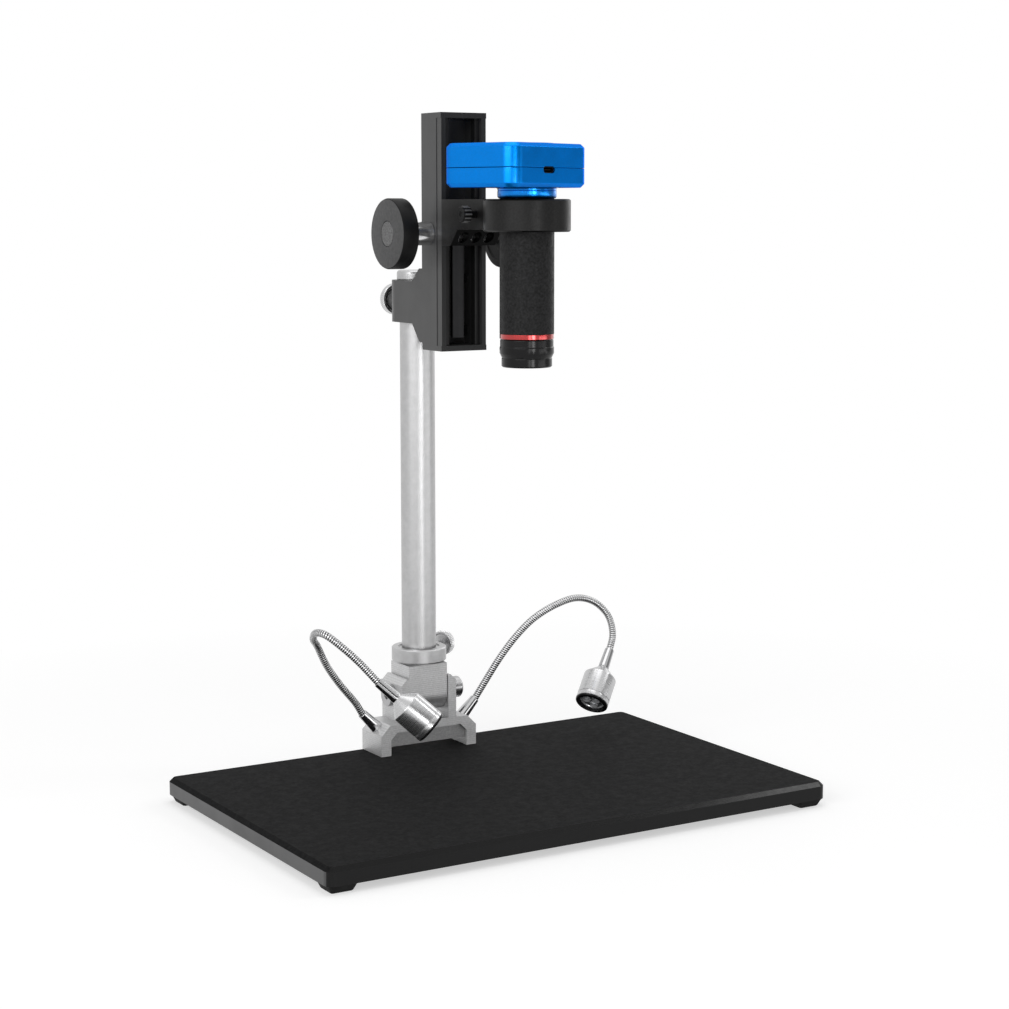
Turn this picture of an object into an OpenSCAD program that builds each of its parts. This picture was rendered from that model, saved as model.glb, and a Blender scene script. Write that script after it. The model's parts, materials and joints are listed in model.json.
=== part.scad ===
// Camera microscope on a focusing stand, with two gooseneck lamps. Millimetres, +Z up.
// The origin is the middle of the base's footprint, on the surface that the feet stand on.
// The stand's pieces are drawn from the foot of the pillar: X right, Y to the back, Z above the plate.

/* [Base plate] */
// Width of the plate
plate_w = 308; // [220:1:400]
// Depth of the plate
plate_d = 200; // [150:1:300]
// Thickness of the plate
plate_t = 9.5; // [7:0.5:16]
// Bevel round the top edge
plate_bevel = 2.2; // [0.5:0.1:4]
// Radius of the plate's corners
plate_corner_r = 5; // [3:0.5:12]
// Height of a rubber foot
foot_h = 4.5; // [3:0.5:10]
// Diameter of a foot where it meets the plate
foot_top_d = 16; // [10:1:24]
// Diameter of a foot at the floor
foot_bottom_d = 12; // [8:1:20]
// Distance of a foot's middle from the plate's edges
foot_inset = 9.5; // [9:0.5:30]

/* [Stand bracket] */
// Distance from the plate's rear edge to the pillar's axis
stand_inset = 13.3; // [13:0.1:60]
// Width over the bracket's legs
bracket_w = 63.2; // [57:0.1:80]
// Depth of the bracket
bracket_d = 24; // [18:0.5:26]
// Thickness of a leg
leg_t = 6.4; // [5.5:0.1:8]
// Height of the shoulders above the plate
shoulder_h = 18; // [16:0.5:22]
// Chamfer of the shoulders
shoulder_chamfer = 6; // [5:0.1:6.5]
// Thickness of the arch over the wiring space
arch_t = 4.8; // [3:0.1:6]
// Chamfer inside the arch
arch_chamfer = 4; // [1:0.5:5]
// Clear width between the ears
ear_gap = 25.8; // [24:0.1:30]
// Thickness of an ear
ear_t = 5.3; // [4:0.1:6]
// Height of the ears above the plate
ear_h = 43.8; // [42:0.1:46]
// Chamfer of an ear's top
ear_chamfer = 3.6; // [1:0.1:4]
// Height of the tilt axis above the plate
pivot_h = 33; // [32:0.1:37]
// Thickness of the cover under the arch
cover_t = 2; // [1:0.1:4]
// How far the cover sits behind the front face
cover_set_back = 2.5; // [1:0.1:6]
// Gap under the cover
cover_lift = 4.5; // [2:0.1:7]
// Thread diameter of the bracket's screws
bracket_screw_d = 4; // [3:0.1:4.5]
// Distance between the two screws of a leg
bracket_screw_apart = 11; // [9:0.5:12]
// Diameter of the tilt bolt
bolt_d = 6; // [4:0.1:8]
// Diameter of the tilt bolt's head and nut
nut_d = 12.7; // [10:0.1:14]
// Height of the tilt nut
nut_h = 8.7; // [5:0.1:10]
// Height of the tilt bolt's head
bolt_head_h = 4; // [3:0.5:6]

/* [Tilt block and collar] */
// Depth of the tilt block
block_d = 22; // [20.5:0.5:24]
// Height of the tilt block's top above the plate
block_h = 51; // [50:0.1:54]
// Gap under the collar
collar_gap = 1.2; // [0.5:0.1:3]
// Outer diameter of the collar
collar_d = 31.9; // [28:0.1:36]
// Height of the collar
collar_h = 8.2; // [7:0.1:12]
// Thread diameter of the collar's thumbscrew
collar_screw_d = 4; // [3:0.1:4.4]
// Knob diameter of the collar's thumbscrew
collar_knob_d = 14.6; // [10:0.1:18]
// Knob thickness of the collar's thumbscrew
collar_knob_t = 5; // [3:0.5:8]
// Distance of that knob's inner face from the pillar's axis
collar_knob_reach = 25; // [20:0.5:30]
// Angle of that thumbscrew, from the back towards the right
collar_screw_turn = 60; // [30:1:90]

/* [Pillar] */
// Diameter of the pillar
pillar_d = 20; // [18:0.1:21]
// Wall of the pillar
pillar_wall = 2.5; // [1.5:0.1:4]
// Height of the pillar's upper end above the plate
pillar_h = 274; // [260:1:330]
// How deep the pillar stands in the tilt block
pillar_seat = 8; // [5:0.5:9]
// Diameter of the pillar's cap
cap_d = 23; // [22:0.1:26]
// Height of the cap above the pillar
cap_h = 5.3; // [3:0.1:9]

/* [Gooseneck lamps] */
// Crest diameter of a neck
neck_d = 4.3; // [3:0.1:5]
// Valley diameter of a neck
neck_valley_d = 3.7; // [2.5:0.1:4.4]
// Ribs on a neck
neck_ribs = 92; // [20:1:98]
// Length of the socket on the bracket
neck_socket_h = 13.1; // [8:0.1:16]
// Diameter of that socket at the bracket
neck_socket_d = 7.6; // [7:0.1:8.2]
// Diameter of a socket's or ferrule's thin end
ferrule_tip_d = 5.6; // [5.4:0.1:6.5]
// How deep a neck sits in a socket or ferrule
neck_seat = 5; // [4.5:0.5:7]
// Length of the ferrule on a lamp
ferrule_h = 14; // [9:0.5:18]
// Diameter of that ferrule at the lamp
ferrule_d = 6.6; // [6:0.1:9]
// Diameter of a lamp head
lamp_d = 19.8; // [18.6:0.1:26]
// Length of the lamp head's cone
lamp_cone_h = 6.5; // [4:0.1:10]
// Length of the lamp head's cylinder
lamp_body_h = 17.6; // [14:0.1:26]
// Wall of the lamp head
lamp_wall = 1.4; // [0.8:0.1:2.5]
// Thickness of the black rim
lamp_rim_t = 1.4; // [0.8:0.1:3]
// Diameter of a lamp's lens
lamp_lens_d = 15.4; // [10:0.1:15.6]
// Thickness of a lamp's lens
lamp_lens_t = 5; // [3:0.1:8]
// Diameter of the wire's way through a neck
wire_d = 2; // [1:0.1:2.2]

/* [Rail clamp] */
// Distance from the pillar's upper end down to the clamp's underside
clamp_drop = 24; // [24:0.5:34]
// Height of the clamp's sleeve
clamp_h = 23.7; // [20:0.1:23.8]
// How far the flange reaches below the sleeve
flange_under = 9.8; // [4:0.1:11]
// How far the flange reaches above the sleeve
flange_over = 7.3; // [4:0.1:16]
// Thickness of the flange
flange_t = 3.5; // [2:0.1:6]
// Length over which the clamp flares out to its flange
clamp_flare = 8.2; // [6:0.1:12]
// Diameter of the boss for the clamp's thumbscrew
boss_d = 13.4; // [10:0.1:16]
// Reach of the boss behind the pillar's axis
boss_reach = 23.7; // [18:0.1:28]
// Thread diameter of the clamp's thumbscrew
clamp_screw_d = 6; // [4:0.1:8]
// Knob diameter of the clamp's thumbscrew
clamp_knob_d = 18.3; // [12:0.1:22]
// Knob thickness of the clamp's thumbscrew
clamp_knob_t = 4.6; // [3:0.1:8]

/* [Focus rail] */
// Distance from the pillar's axis to the rail's front
rail_reach = 53.6; // [50:0.1:60]
// Width of the rail
rail_w = 28.7; // [27.5:0.1:34]
// Depth of the rail
rail_d = 21.9; // [21.4:0.1:26]
// Wall of the rail
rail_wall = 3; // [2:0.1:3.4]
// How far the rail reaches below the clamp's sleeve
rail_under = 14; // [13:0.5:20]
// Length of the rail with its caps
rail_h = 130; // [124:0.5:164]
// Thickness of a rail cap
rail_cap_t = 3; // [2:0.1:5]
// Thickness of a guide strip
guide_t = 3; // [2:0.1:3.2]
// Depth of a guide strip
guide_d = 4; // [3:0.1:4.3]
// Distance of a guide strip from the rail's front
guide_set = 2.5; // [2.3:0.1:2.8]
// Width of the step along the rail's front edges
rail_step_w = 5.3; // [3:0.1:6.5]
// Depth of that step
rail_step_t = 0.3; // [0.1:0.1:0.8]
// Height of the focus shaft above the rail's lower end
shaft_rise = 64.4; // [62:0.1:66]
// Diameter of the focus shaft
shaft_d = 6; // [4:0.1:6.2]
// Outer diameter of the steel sleeve on the shaft
sleeve_d = 13; // [10:0.1:16]
// Diameter of a focus knob
knob_d = 38.5; // [30:0.1:46]
// Thickness of a focus knob
knob_t = 9.5; // [7:0.1:14]
// Distance of a knob's inner face from the middle plane
knob_reach = 31.2; // [26:0.1:40]
// Diameter of the disc in a knob's face
knob_disc_d = 13.6; // [12:0.1:20]

/* [Rack and pinion] */
// Teeth on the pinion
pinion_teeth = 16; // [16:1:17]
// Module of the teeth
tooth_module = 0.5; // [0.48:0.01:0.52]
// Width of the pinion
pinion_w = 8; // [6:0.1:8.6]
// Width of the rack
rack_w = 7; // [5:0.1:7.6]
// Thickness of the rack behind its teeth
rack_back_t = 2.2; // [1.4:0.1:2.4]
// Distance from the rail's lower end up to the rack's lower end
rack_rise = 7; // [6.5:0.5:44]

/* [Carriage and lens arm] */
// How far the carriage reaches below the focus shaft
carriage_drop = 6.4; // [2.4:0.1:8.4]
// Height of the carriage, from its underside to the arm's top
carriage_h = 25; // [22.5:0.5:28]
// Thickness of the arm's root where it is bolted on
arm_root_t = 9.5; // [8.5:0.1:12]
// Thickness of the arm's root under the arm
arm_web_t = 17.3; // [14:0.1:20]
// Height of the arm
arm_h = 16; // [13:0.1:18]
// Distance from the pillar's axis to the lens axis
lens_reach = 119.2; // [114:0.1:140]
// Outer diameter of the lens ring
ring_d = 46; // [40:0.5:60]
// Height of the lens ring
ring_h = 17; // [14:0.1:22]
// Chamfer of the lens ring
ring_chamfer = 0.8; // [0.3:0.1:2]
// Width of the clamping slot
slot_w = 1.2; // [0.8:0.1:2.5]
// Distance from the lens axis to the clamping screw
pinch_reach = 28.6; // [22:0.1:31]
// Diameter of the clamping screw
pinch_d = 4; // [3:0.1:5]
// Head diameter of the clamping screw
pinch_head_d = 8.9; // [6:0.1:11]
// Head length of the clamping screw
pinch_head_h = 5.2; // [4:0.1:10]
// Length of the clamping screw's neck outside the arm
pinch_neck = 4; // [1:0.1:8]

/* [Lens] */
// Diameter of the lens barrel
lens_d = 28.8; // [27.4:0.1:36]
// Wall of the lens barrel
lens_wall = 2.2; // [1.5:0.1:3]
// Length of the barrel from the arm's top down to the accent ring
barrel_h = 70.3; // [40:0.1:90]
// Height of the accent ring
accent_h = 2.5; // [1.5:0.1:5]
// Length of the nose
nose_h = 15; // [12.5:0.1:19]
// Diameter of the nose at its front end
nose_d = 26.8; // [25:0.1:27.6]
// Length of the nose's front collar
nose_tip_h = 5.3; // [4:0.1:7]
// Length of the nose's taper
nose_taper_h = 2.2; // [1:0.1:3]
// Height of the nose's flange
nose_flange_h = 3; // [2:0.1:4]
// Clear opening of the nose
nose_bore_d = 19; // [14:0.1:21]
// Diameter of the camera mount's thread
mount_thread_d = 25.4; // [24.8:0.1:25.6]
// Outer diameter of the mount ring
mount_ring_d = 31; // [30:0.1:36]
// Height of the mount ring
mount_ring_h = 4; // [3:0.1:8]

/* [Camera] */
// Width of the camera
camera_w = 62.4; // [58:0.1:80]
// Depth of the camera
camera_d = 49; // [42:0.5:60]
// Height of the lower shell
lower_shell_h = 10; // [9.5:0.1:14]
// Height of the upper shell
upper_shell_h = 12.5; // [8:0.1:20]
// Radius of the camera's upright corners
camera_corner_r = 7.5; // [6:0.1:9]
// Chamfer of the camera's top and bottom edges
camera_chamfer = 2; // [0.5:0.1:2.4]
// Wall of the camera's shells
camera_wall = 2; // [1.2:0.1:2.4]
// Turn of the camera about the lens axis
camera_turn = 18.5; // [0:0.5:30]
// Distance from the lens axis to the camera's left end
camera_left = 40.3; // [34:0.1:42]
// Height of the step under the camera
camera_step_h = 1.5; // [0.8:0.1:4]
// Diameter of the round boss on the camera's top
camera_boss_d = 27.4; // [20:0.1:34]
// Height of that boss
camera_boss_h = 0.6; // [0.3:0.1:2]
// Width of the socket's opening
port_w = 9.2; // [8.8:0.1:12]
// Height of the socket's opening
port_h = 3.5; // [3.2:0.1:4]
// Distance of the opening's middle from the camera's left end
port_place = 28.4; // [25:0.1:34]
// How far the opening's middle lies under the seam
port_drop = 1.1; // [0.5:0.1:1.4]

/* [Fits] */
// Radial clearance of a turning or sliding fit
fit_clear = 0.06; // [0.03:0.01:0.1]
// Gap between pieces that move past each other
run_gap = 0.3; // [0.2:0.05:0.4]
// Play between the teeth
backlash = 0.14; // [0.1:0.01:0.2]

/* [Hidden] */
$fn = 72;
// Facets of the rounded shapes that are hulls
hull_fn = 32;
// Overrun of a cut past a face
cut = 1;

// Colours
matt_black = "#26272a";
soft_black = "#2e2f32";
deep_black = "#17181a";
silver = "#c3c5c7";
chrome = "#d8dadc";
steel = "#aeb2b6";
rubber = "#1c1c1d";
camera_blue = "#0a6fd0";
accent_red = "#c8202c";
glass = "#9fb6c4";
board_green = "#1f5a3a";

// Height of the plate's top, and distance of the pillar behind the base's middle
deck = foot_h + plate_t;
stand_y = plate_d / 2 - stand_inset;

// Bracket, seen from the front, above the plate
bracket_half = bracket_w / 2;
ear_in = ear_gap / 2;
ear_out = ear_in + ear_t;
arch_h = shoulder_h - arch_t;
arch_half = bracket_half - leg_t;
bracket_screw_head_d = 1.75 * bracket_screw_d;
bracket_screw_sink = 1.1 * bracket_screw_d;
bracket_screw_grip = 2 * bracket_screw_d;
bolt_grip = 0.7 * nut_h;

// Tilt block, with a short spigot that carries the collar
block_w = ear_gap - 2 * run_gap;
spigot_d = pillar_d + pillar_wall;
collar_bottom = block_h + collar_gap;
collar_top = collar_bottom + collar_h;
collar_screw_h = collar_bottom + 0.62 * collar_h;
// Recess round the pillar in the collar's top
collar_recess_d = 1.2 * pillar_d;
collar_recess = collar_h / 10;
pillar_bottom = block_h - pillar_seat;
pillar_bore = pillar_d - 2 * pillar_wall;
cap_plug_h = 2 * cap_h;

// A neck's socket stands square on the middle of the shoulder's chamfer
socket_x = bracket_half - shoulder_chamfer / 2;
socket_z = shoulder_h - shoulder_chamfer / 2;
socket_angle = 45;
neck_bore_d = neck_d + 2 * fit_clear;
neck_sides = 8;
// A neck's first and last stretch run straight for one neck diameter
neck_straight = neck_d;
// Wire's way from the shoulder into the space under the arch
wire_way = (socket_x + socket_z - arch_half - arch_h + arch_chamfer) / sqrt(2);

// Routes of the necks between socket and ferrule, from the pillar's foot
left_route = [[-42.5, 0, 31.5], [-52, 0, 43], [-60.5, -0.5, 55], [-67.5, -3, 67.5], [-74, -11, 73.7],
    [-78, -22.5, 79.6], [-77, -32.5, 80.1], [-70.5, -38.5, 74], [-62, -43.5, 65]];
right_route = [[44.5, 0, 33], [55, -0.5, 47], [66, -1, 59], [78, -2, 69], [92, -3.5, 76],
    [106, -5.5, 79.5], [117.5, -8.5, 76.5], [125, -12.5, 68], [125.5, -17, 57.5]];
// Where each neck enters its lamp's ferrule, and how its beam points: turned from the side towards
// the front, and down
left_lamp_at = [-53.5, -49.5, 54];
right_lamp_at = [120.5, -21, 48.5];
left_beam_turn = 32;
left_beam_down = 41;
right_beam_turn = 33.5;
right_beam_down = 44.5;

// Lamp head, along its beam
lamp_front = ferrule_h + lamp_cone_h + lamp_body_h;
lamp_bore_d = lamp_d - 2 * lamp_wall;
lamp_cavity_h = lamp_body_h - lamp_wall;
lamp_groove = lamp_wall / 5;
lamp_groove_back = 2.2 * lamp_wall;
lens_dome = lamp_lens_t / 5;
led_w = lamp_lens_d / 5;
board_t = 1.6;

// Clamp and rail, from the pillar's foot: the rail's depths run back from its front face, and the
// heights of clamp, rail, shaft, carriage and lens follow the pillar's
clamp_bottom = pillar_h - clamp_drop;
clamp_top = clamp_bottom + clamp_h;
flange_bottom = clamp_bottom - flange_under;
flange_top = clamp_top + flange_over;
rail_bottom = clamp_bottom - rail_under;
rail_top = rail_bottom + rail_h;
shaft_h = rail_bottom + shaft_rise;
rack_bottom = rail_bottom + rack_rise;
carriage_bottom = shaft_h - carriage_drop;
arm_top = carriage_bottom + carriage_h;
clamp_mid = clamp_bottom + clamp_h / 2;
rail_back = rail_reach - rail_d;
channel_half = rail_w / 2 - rail_wall;
channel_d = rail_d - rail_wall;
channel_bottom = rail_bottom + rail_cap_t;
channel_top = rail_top - rail_cap_t;
guide_in = channel_half - guide_t;
guide_back = guide_set + guide_d;
rail_screw_d = 4;
rail_screw_head_d = 7;
rail_screw_head_h = 2.6;
rail_screw_x = channel_half - rail_screw_head_d / 2;
rail_screw_edge = 6;
rail_screw_reach = rail_wall + flange_t;
cap_screw_d = 1.8;
cap_screw_head_d = 2.8;
cap_screw_head_h = 1;
cap_screw_length = 8;
sleeve_spigot_d = (shaft_d + sleeve_d) / 2;
knob_edge = knob_t / 12;
knob_disc_t = knob_t / 4;

// Rack and pinion: depths of the rack's flat back, tooth roots, pitch line and tips
pressure_angle = 20;
full_turn = 360;
dedendum = 1.2 * tooth_module;
pitch_r = pinion_teeth * tooth_module / 2;
base_r = pitch_r * cos(pressure_angle);
tip_r = pitch_r + tooth_module;
root_r = pitch_r - dedendum;
tooth_pitch = PI * tooth_module;
rack_front = guide_back;
rack_root = rack_front + rack_back_t;
rack_line = rack_root + dedendum;
rack_tip = rack_line + tooth_module;
shaft_depth = rack_line + pitch_r;

// Slider and arm
slider_front_d = guide_set - run_gap;
slider_keep_d = 0.6 * guide_d;
slider_slot_half = max(rack_w, pinion_w) / 2 + 2 * run_gap;
arm_bottom = arm_top - arm_h;
ring_bottom = arm_top - ring_h;
arm_screw_d = 3;
arm_screw_head_d = 5.6;
arm_screw_head_h = 3;
arm_screw_x = 8;
arm_screw_z = carriage_bottom + 0.8 * arm_screw_head_d;
arm_screw_seat = 0.45 * arm_root_t;
arm_screw_grip = slider_front_d;
// How far the clamping screw reaches past the slot, and the slot past the screw
pinch_grip = 2 * pinch_d;
slot_past = 1.5 * pinch_d;
pinch_h = arm_top - arm_h / 2;

// Lens and camera, from the plate up along the lens axis
lens_r = lens_d / 2;
lens_seat = arm_top + run_gap;
mount_ring_top = lens_seat + mount_ring_h;
camera_bottom = mount_ring_top + camera_step_h;
camera_seam = camera_bottom + lower_shell_h;
camera_top = camera_seam + upper_shell_h;
camera_floor = camera_bottom + camera_wall;
camera_mid = camera_w / 2 - camera_left;
barrel_r = lens_r - lens_wall;
barrel_bore_r = barrel_r - lens_wall;
accent_top = arm_top - barrel_h;
nose_top = accent_top - accent_h;
nose_bottom = nose_top - nose_h;
nose_taper = nose_bottom + nose_tip_h;
nose_flange = nose_taper + nose_taper_h;
nose_spigot_r = barrel_r - lens_wall / 2;
nose_edge = run_gap;
front_lens_r = (nose_bore_d / 2 + nose_spigot_r) / 2;
front_lens_seat = nose_taper - nose_tip_h / 8;
front_lens_t = 3;
front_lens_dome = front_lens_t / 3;
rear_lens_t = 4;
rear_lens_drop = 9;
port_z = camera_seam - port_drop;
port_x = port_place - camera_left;
socket_gap = 0.15;
socket_w = port_w - 2 * socket_gap;
socket_h = port_h - 2 * socket_gap;
socket_d = 7.4;
socket_shell = socket_h / 8;
socket_front = camera_wall / 3 - camera_d / 2;
board_z = port_z - socket_h / 2;
board_gap = 1.2;
board_hole_d = 2;
post_d = 5;
sensor_w = 15;
sensor_d = 12;
sensor_t = 1.2;

module at_stand() {
    translate([0, stand_y, deck]) children();
}
module at_pivot() {
    at_stand() translate([0, 0, pivot_h]) children();
}
// The rail's frame: Y runs back from its front face
module at_rail() {
    at_stand() translate([0, -rail_reach, 0]) children();
}
module at_shaft() {
    at_rail() translate([0, shaft_depth, shaft_h]) children();
}
module at_lens() {
    at_stand() translate([0, -lens_reach, 0]) children();
}
module at_camera() {
    at_lens() rotate([0, 0, camera_turn]) children();
}
// Rods along X and Y
module x_rod(d, from, to) {
    translate([from, 0, 0]) rotate([0, 90, 0]) cylinder(d = d, h = to - from);
}
module y_rod(d, from, to) {
    translate([0, from, 0]) rotate([-90, 0, 0]) cylinder(d = d, h = to - from);
}
// A rod along Z
module z_rod(d, from, to) {
    translate([0, 0, from]) cylinder(d = d, h = to - from);
}
// An outline in the YZ plane, made as thick as w about the middle
module across_x(w) {
    rotate([90, 0, 90]) translate([0, 0, -w / 2]) linear_extrude(w) children();
}
// A round knob or nut along +Z with broken edges
module edged_disc(d, t, edge) {
    r = d / 2;
    rotate_extrude() polygon([[0, 0], [r - edge, 0], [r, edge], [r, t - edge], [r - edge, t], [0, t]]);
}
// A screw whose head stands on z = 0 and whose shank points down
module socket_screw(d, head_d, head_h, length) {
    difference() {
        cylinder(d = head_d, h = head_h);
        translate([0, 0, head_h / 2]) cylinder(d = 0.75 * d, h = head_h, $fn = 6);
    }
    z_rod(d, -length, 0);
}
module countersunk_screw(d, head_d, head_h, length) {
    translate([0, 0, -head_h]) cylinder(d1 = d, d2 = head_d, h = head_h);
    z_rod(d, -length, -head_h);
}
// Rectangle with round corners, made of true arcs
module round_rect(w, d, r) {
    square([w - 2 * r, d], center = true);
    square([w, d - 2 * r], center = true);
    for (sx = [-1, 1], sy = [-1, 1])
        translate([sx * (w / 2 - r), sy * (d / 2 - r)]) circle(r);
}
// Slab with round corners whose sides lean in by its own height
module bevel_slab(w, d, r, h) {
    hull() for (sx = [-1, 1], sy = [-1, 1])
        translate([sx * (w / 2 - r), sy * (d / 2 - r), 0])
            cylinder(r1 = r, r2 = r - h, h = h, $fn = 2 * hull_fn);
}

module base_plate() {
    color(matt_black) difference() {
        union() {
            translate([0, 0, foot_h])
                linear_extrude(plate_t - plate_bevel) round_rect(plate_w, plate_d, plate_corner_r);
            translate([0, 0, deck - plate_bevel])
                bevel_slab(plate_w, plate_d, plate_corner_r, plate_bevel);
        }
        at_bracket_screws() {
            z_rod(bracket_screw_d + 2 * fit_clear, -plate_t - cut, cut);
            z_rod(bracket_screw_head_d + run_gap, -plate_t - cut, bracket_screw_sink - plate_t);
        }
    }
}
module at_bracket_screws() {
    at_stand() for (sx = [-1, 1], sy = [-1, 1])
        translate([sx * (bracket_half - leg_t / 2), sy * bracket_screw_apart / 2, 0]) children();
}
module rubber_feet() {
    color(rubber) for (sx = [-1, 1], sy = [-1, 1])
        translate([sx * (plate_w / 2 - foot_inset), sy * (plate_d / 2 - foot_inset), 0])
            cylinder(d1 = foot_bottom_d, d2 = foot_top_d, h = foot_h);
}

// An outline's right-hand points and their mirror images, as one outline
module both_halves(right) {
    n = len(right) - 1;
    polygon(concat(right, [for (k = [n:-1:0]) [-right[k][0], right[k][1]]]));
}
// The bracket's outside, seen from the front
module bracket_outline() {
    shoulder_in = bracket_half - shoulder_chamfer;
    both_halves([[bracket_half, 0], [bracket_half, shoulder_h - shoulder_chamfer],
        [shoulder_in, shoulder_h], [ear_out, shoulder_h], [ear_out, ear_h - ear_chamfer],
        [ear_out - ear_chamfer, ear_h], [ear_in, ear_h], [ear_in, shoulder_h]]);
}
// Space under the arch, drawn in all round by a gap and cut off at a height
module arch_outline(gap, bottom) {
    half = arch_half - gap;
    top = arch_h - gap;
    polygon([[-half, bottom], [half, bottom], [half, top - arch_chamfer], [half - arch_chamfer, top],
        [-half + arch_chamfer, top], [-half, top - arch_chamfer]]);
}
// An outline seen from the front, made as thick as t with its rear face at y
module across_y(t, y) {
    translate([0, y, 0]) rotate([90, 0, 0]) linear_extrude(t) children();
}
module stand_bracket() {
    color(silver) difference() {
        at_stand() across_y(bracket_d, bracket_d / 2) difference() {
            bracket_outline();
            arch_outline(0, -cut);
        }
        at_pivot() x_rod(bolt_d, -ear_out - cut, ear_out + cut);
        at_bracket_screws() z_rod(bracket_screw_d, -cut, bracket_screw_grip);
        for (side = [-1, 1])
            at_socket(side) z_rod(wire_d, -wire_way - cut, cut);
    }
}
module wiring_cover() {
    color(silver) at_stand() across_y(cover_t, cover_set_back + cover_t - bracket_d / 2)
        arch_outline(fit_clear, cover_lift);
}
module bracket_screws() {
    color(steel) at_bracket_screws() translate([0, 0, bracket_screw_sink - plate_t]) rotate([180, 0, 0])
        socket_screw(bracket_screw_d, bracket_screw_head_d, bracket_screw_d,
            plate_t - bracket_screw_sink + bracket_screw_grip);
}
module tilt_bolt() {
    head = ear_out + bolt_head_h;
    color(steel) at_pivot() difference() {
        union() {
            x_rod(bolt_d, -ear_out, ear_out + bolt_grip);
            x_rod(nut_d, -head, -ear_out);
        }
        x_rod(0.85 * bolt_d, -head - cut, -head + bolt_head_h / 2, $fn = 6);
    }
}
module tilt_nut() {
    color(steel) at_pivot() difference() {
        translate([ear_out, 0, 0]) rotate([0, 90, 0]) edged_disc(nut_d, nut_h, nut_h / 10);
        x_rod(bolt_d, 0, ear_out + bolt_grip);
    }
}

// Frame of a neck's socket: origin on the shoulder's chamfer, +Z square out of it
module at_socket(side) {
    at_stand() translate([side * socket_x, 0, socket_z]) rotate([0, side * socket_angle, 0]) children();
}
module neck_socket(side) {
    color(chrome) at_socket(side) difference() {
        cylinder(d1 = neck_socket_d, d2 = ferrule_tip_d, h = neck_socket_h);
        z_rod(neck_bore_d, neck_socket_h - neck_seat, neck_socket_h + cut);
        z_rod(wire_d, -cut, neck_socket_h);
    }
}
function lamp_at(side) = side < 0 ? left_lamp_at : right_lamp_at;
function beam_turn(side) = side < 0 ? left_beam_turn : right_beam_turn;
function beam_down(side) = side < 0 ? left_beam_down : right_beam_down;
function beam(side) = [-side * cos(beam_down(side)) * cos(beam_turn(side)),
    -cos(beam_down(side)) * sin(beam_turn(side)), -sin(beam_down(side))];
// Frame of a lamp: origin where the neck enters the ferrule, +Z along the beam
module at_lamp(side) {
    heading = side < 0 ? -beam_turn(side) : 180 + beam_turn(side);
    at_stand() translate(lamp_at(side)) rotate([0, 90 + beam_down(side), heading]) children();
}
module lamp_ferrule(side) {
    color(chrome) at_lamp(side) difference() {
        cylinder(d1 = ferrule_tip_d, d2 = ferrule_d, h = ferrule_h);
        z_rod(neck_bore_d, -cut, neck_seat);
        z_rod(wire_d, 0, ferrule_h + cut);
    }
}
module lamp_head(side) {
    rim = lamp_d / 2;
    groove = lamp_front - lamp_groove_back;
    color(chrome) at_lamp(side) difference() {
        rotate_extrude() polygon([[0, ferrule_h], [ferrule_d / 2, ferrule_h],
            [rim, ferrule_h + lamp_cone_h], [rim, groove], [rim - lamp_groove, groove + lamp_groove],
            [rim, groove + 2 * lamp_groove], [rim, lamp_front], [0, lamp_front]]);
        z_rod(lamp_bore_d, lamp_front - lamp_cavity_h, lamp_front + cut);
        z_rod(wire_d, 0, lamp_front);
    }
}
module lamp_rim(side) {
    lens = lamp_lens_d / 2;
    bore = lamp_bore_d / 2;
    rim = lamp_d / 2;
    color(deep_black) at_lamp(side) translate([0, 0, lamp_front]) rotate_extrude()
        polygon([[lens, -lamp_lens_t], [bore, -lamp_lens_t], [bore, 0], [rim, 0], [rim, lamp_rim_t / 2],
            [rim - lamp_rim_t / 2, lamp_rim_t], [lens, lamp_rim_t]]);
}
// A collimating lens: a cup behind, a low dome in front
module lamp_lens(side) {
    r = lamp_lens_d / 2;
    inner = lamp_lens_d / 3;
    color(glass) at_lamp(side) translate([0, 0, lamp_front - lamp_lens_t]) rotate_extrude()
        polygon([[0, 0], [inner, 0], [r, lamp_lens_t / 2], [r, lamp_lens_t - lens_dome / 2],
            [inner, lamp_lens_t], [0, lamp_lens_t + lens_dome / 2]]);
}
// The board carries three light-emitting chips
module lamp_board(side) {
    color(board_green) at_lamp(side) translate([0, 0, lamp_front - lamp_cavity_h]) {
        cylinder(d = lamp_bore_d, h = board_t);
        for (a = [0, 120, 240])
            rotate([0, 0, a]) translate([led_w / 2, -led_w / 2, board_t]) cube([led_w, led_w, led_w / 2]);
    }
}

function unit(v) = v / norm(v);
// Points of a ring of n points and radius r, square to t at p, counted from the direction ref
function ring_points(p, t, ref, r, n) = let (u = unit(ref - (ref * t) * t), w = cross(t, u))
    [for (i = [0:n - 1]) p + r * (cos(360 * i / n) * u + sin(360 * i / n) * w)];
// Catmull-Rom curve through the second to the last but one of the points in q; s counts its spans
function curve(q, s) = let (k = min(floor(s), len(q) - 4), f = s - k,
        a = q[k], b = q[k + 1], c = q[k + 2], d = q[k + 3])
    0.5 * (2 * b + (c - a) * f + (2 * a - 5 * b + 4 * c - d) * f * f
        + (3 * b - a - 3 * c + d) * f * f * f);
// Direction of the curve, from two places a small share of a span apart
slope_share = 0.02;
function slope(q, s) = let (first = max(s - slope_share, 0), last = min(s + slope_share, len(q) - 3))
    unit(curve(q, last) - curve(q, first));
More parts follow.
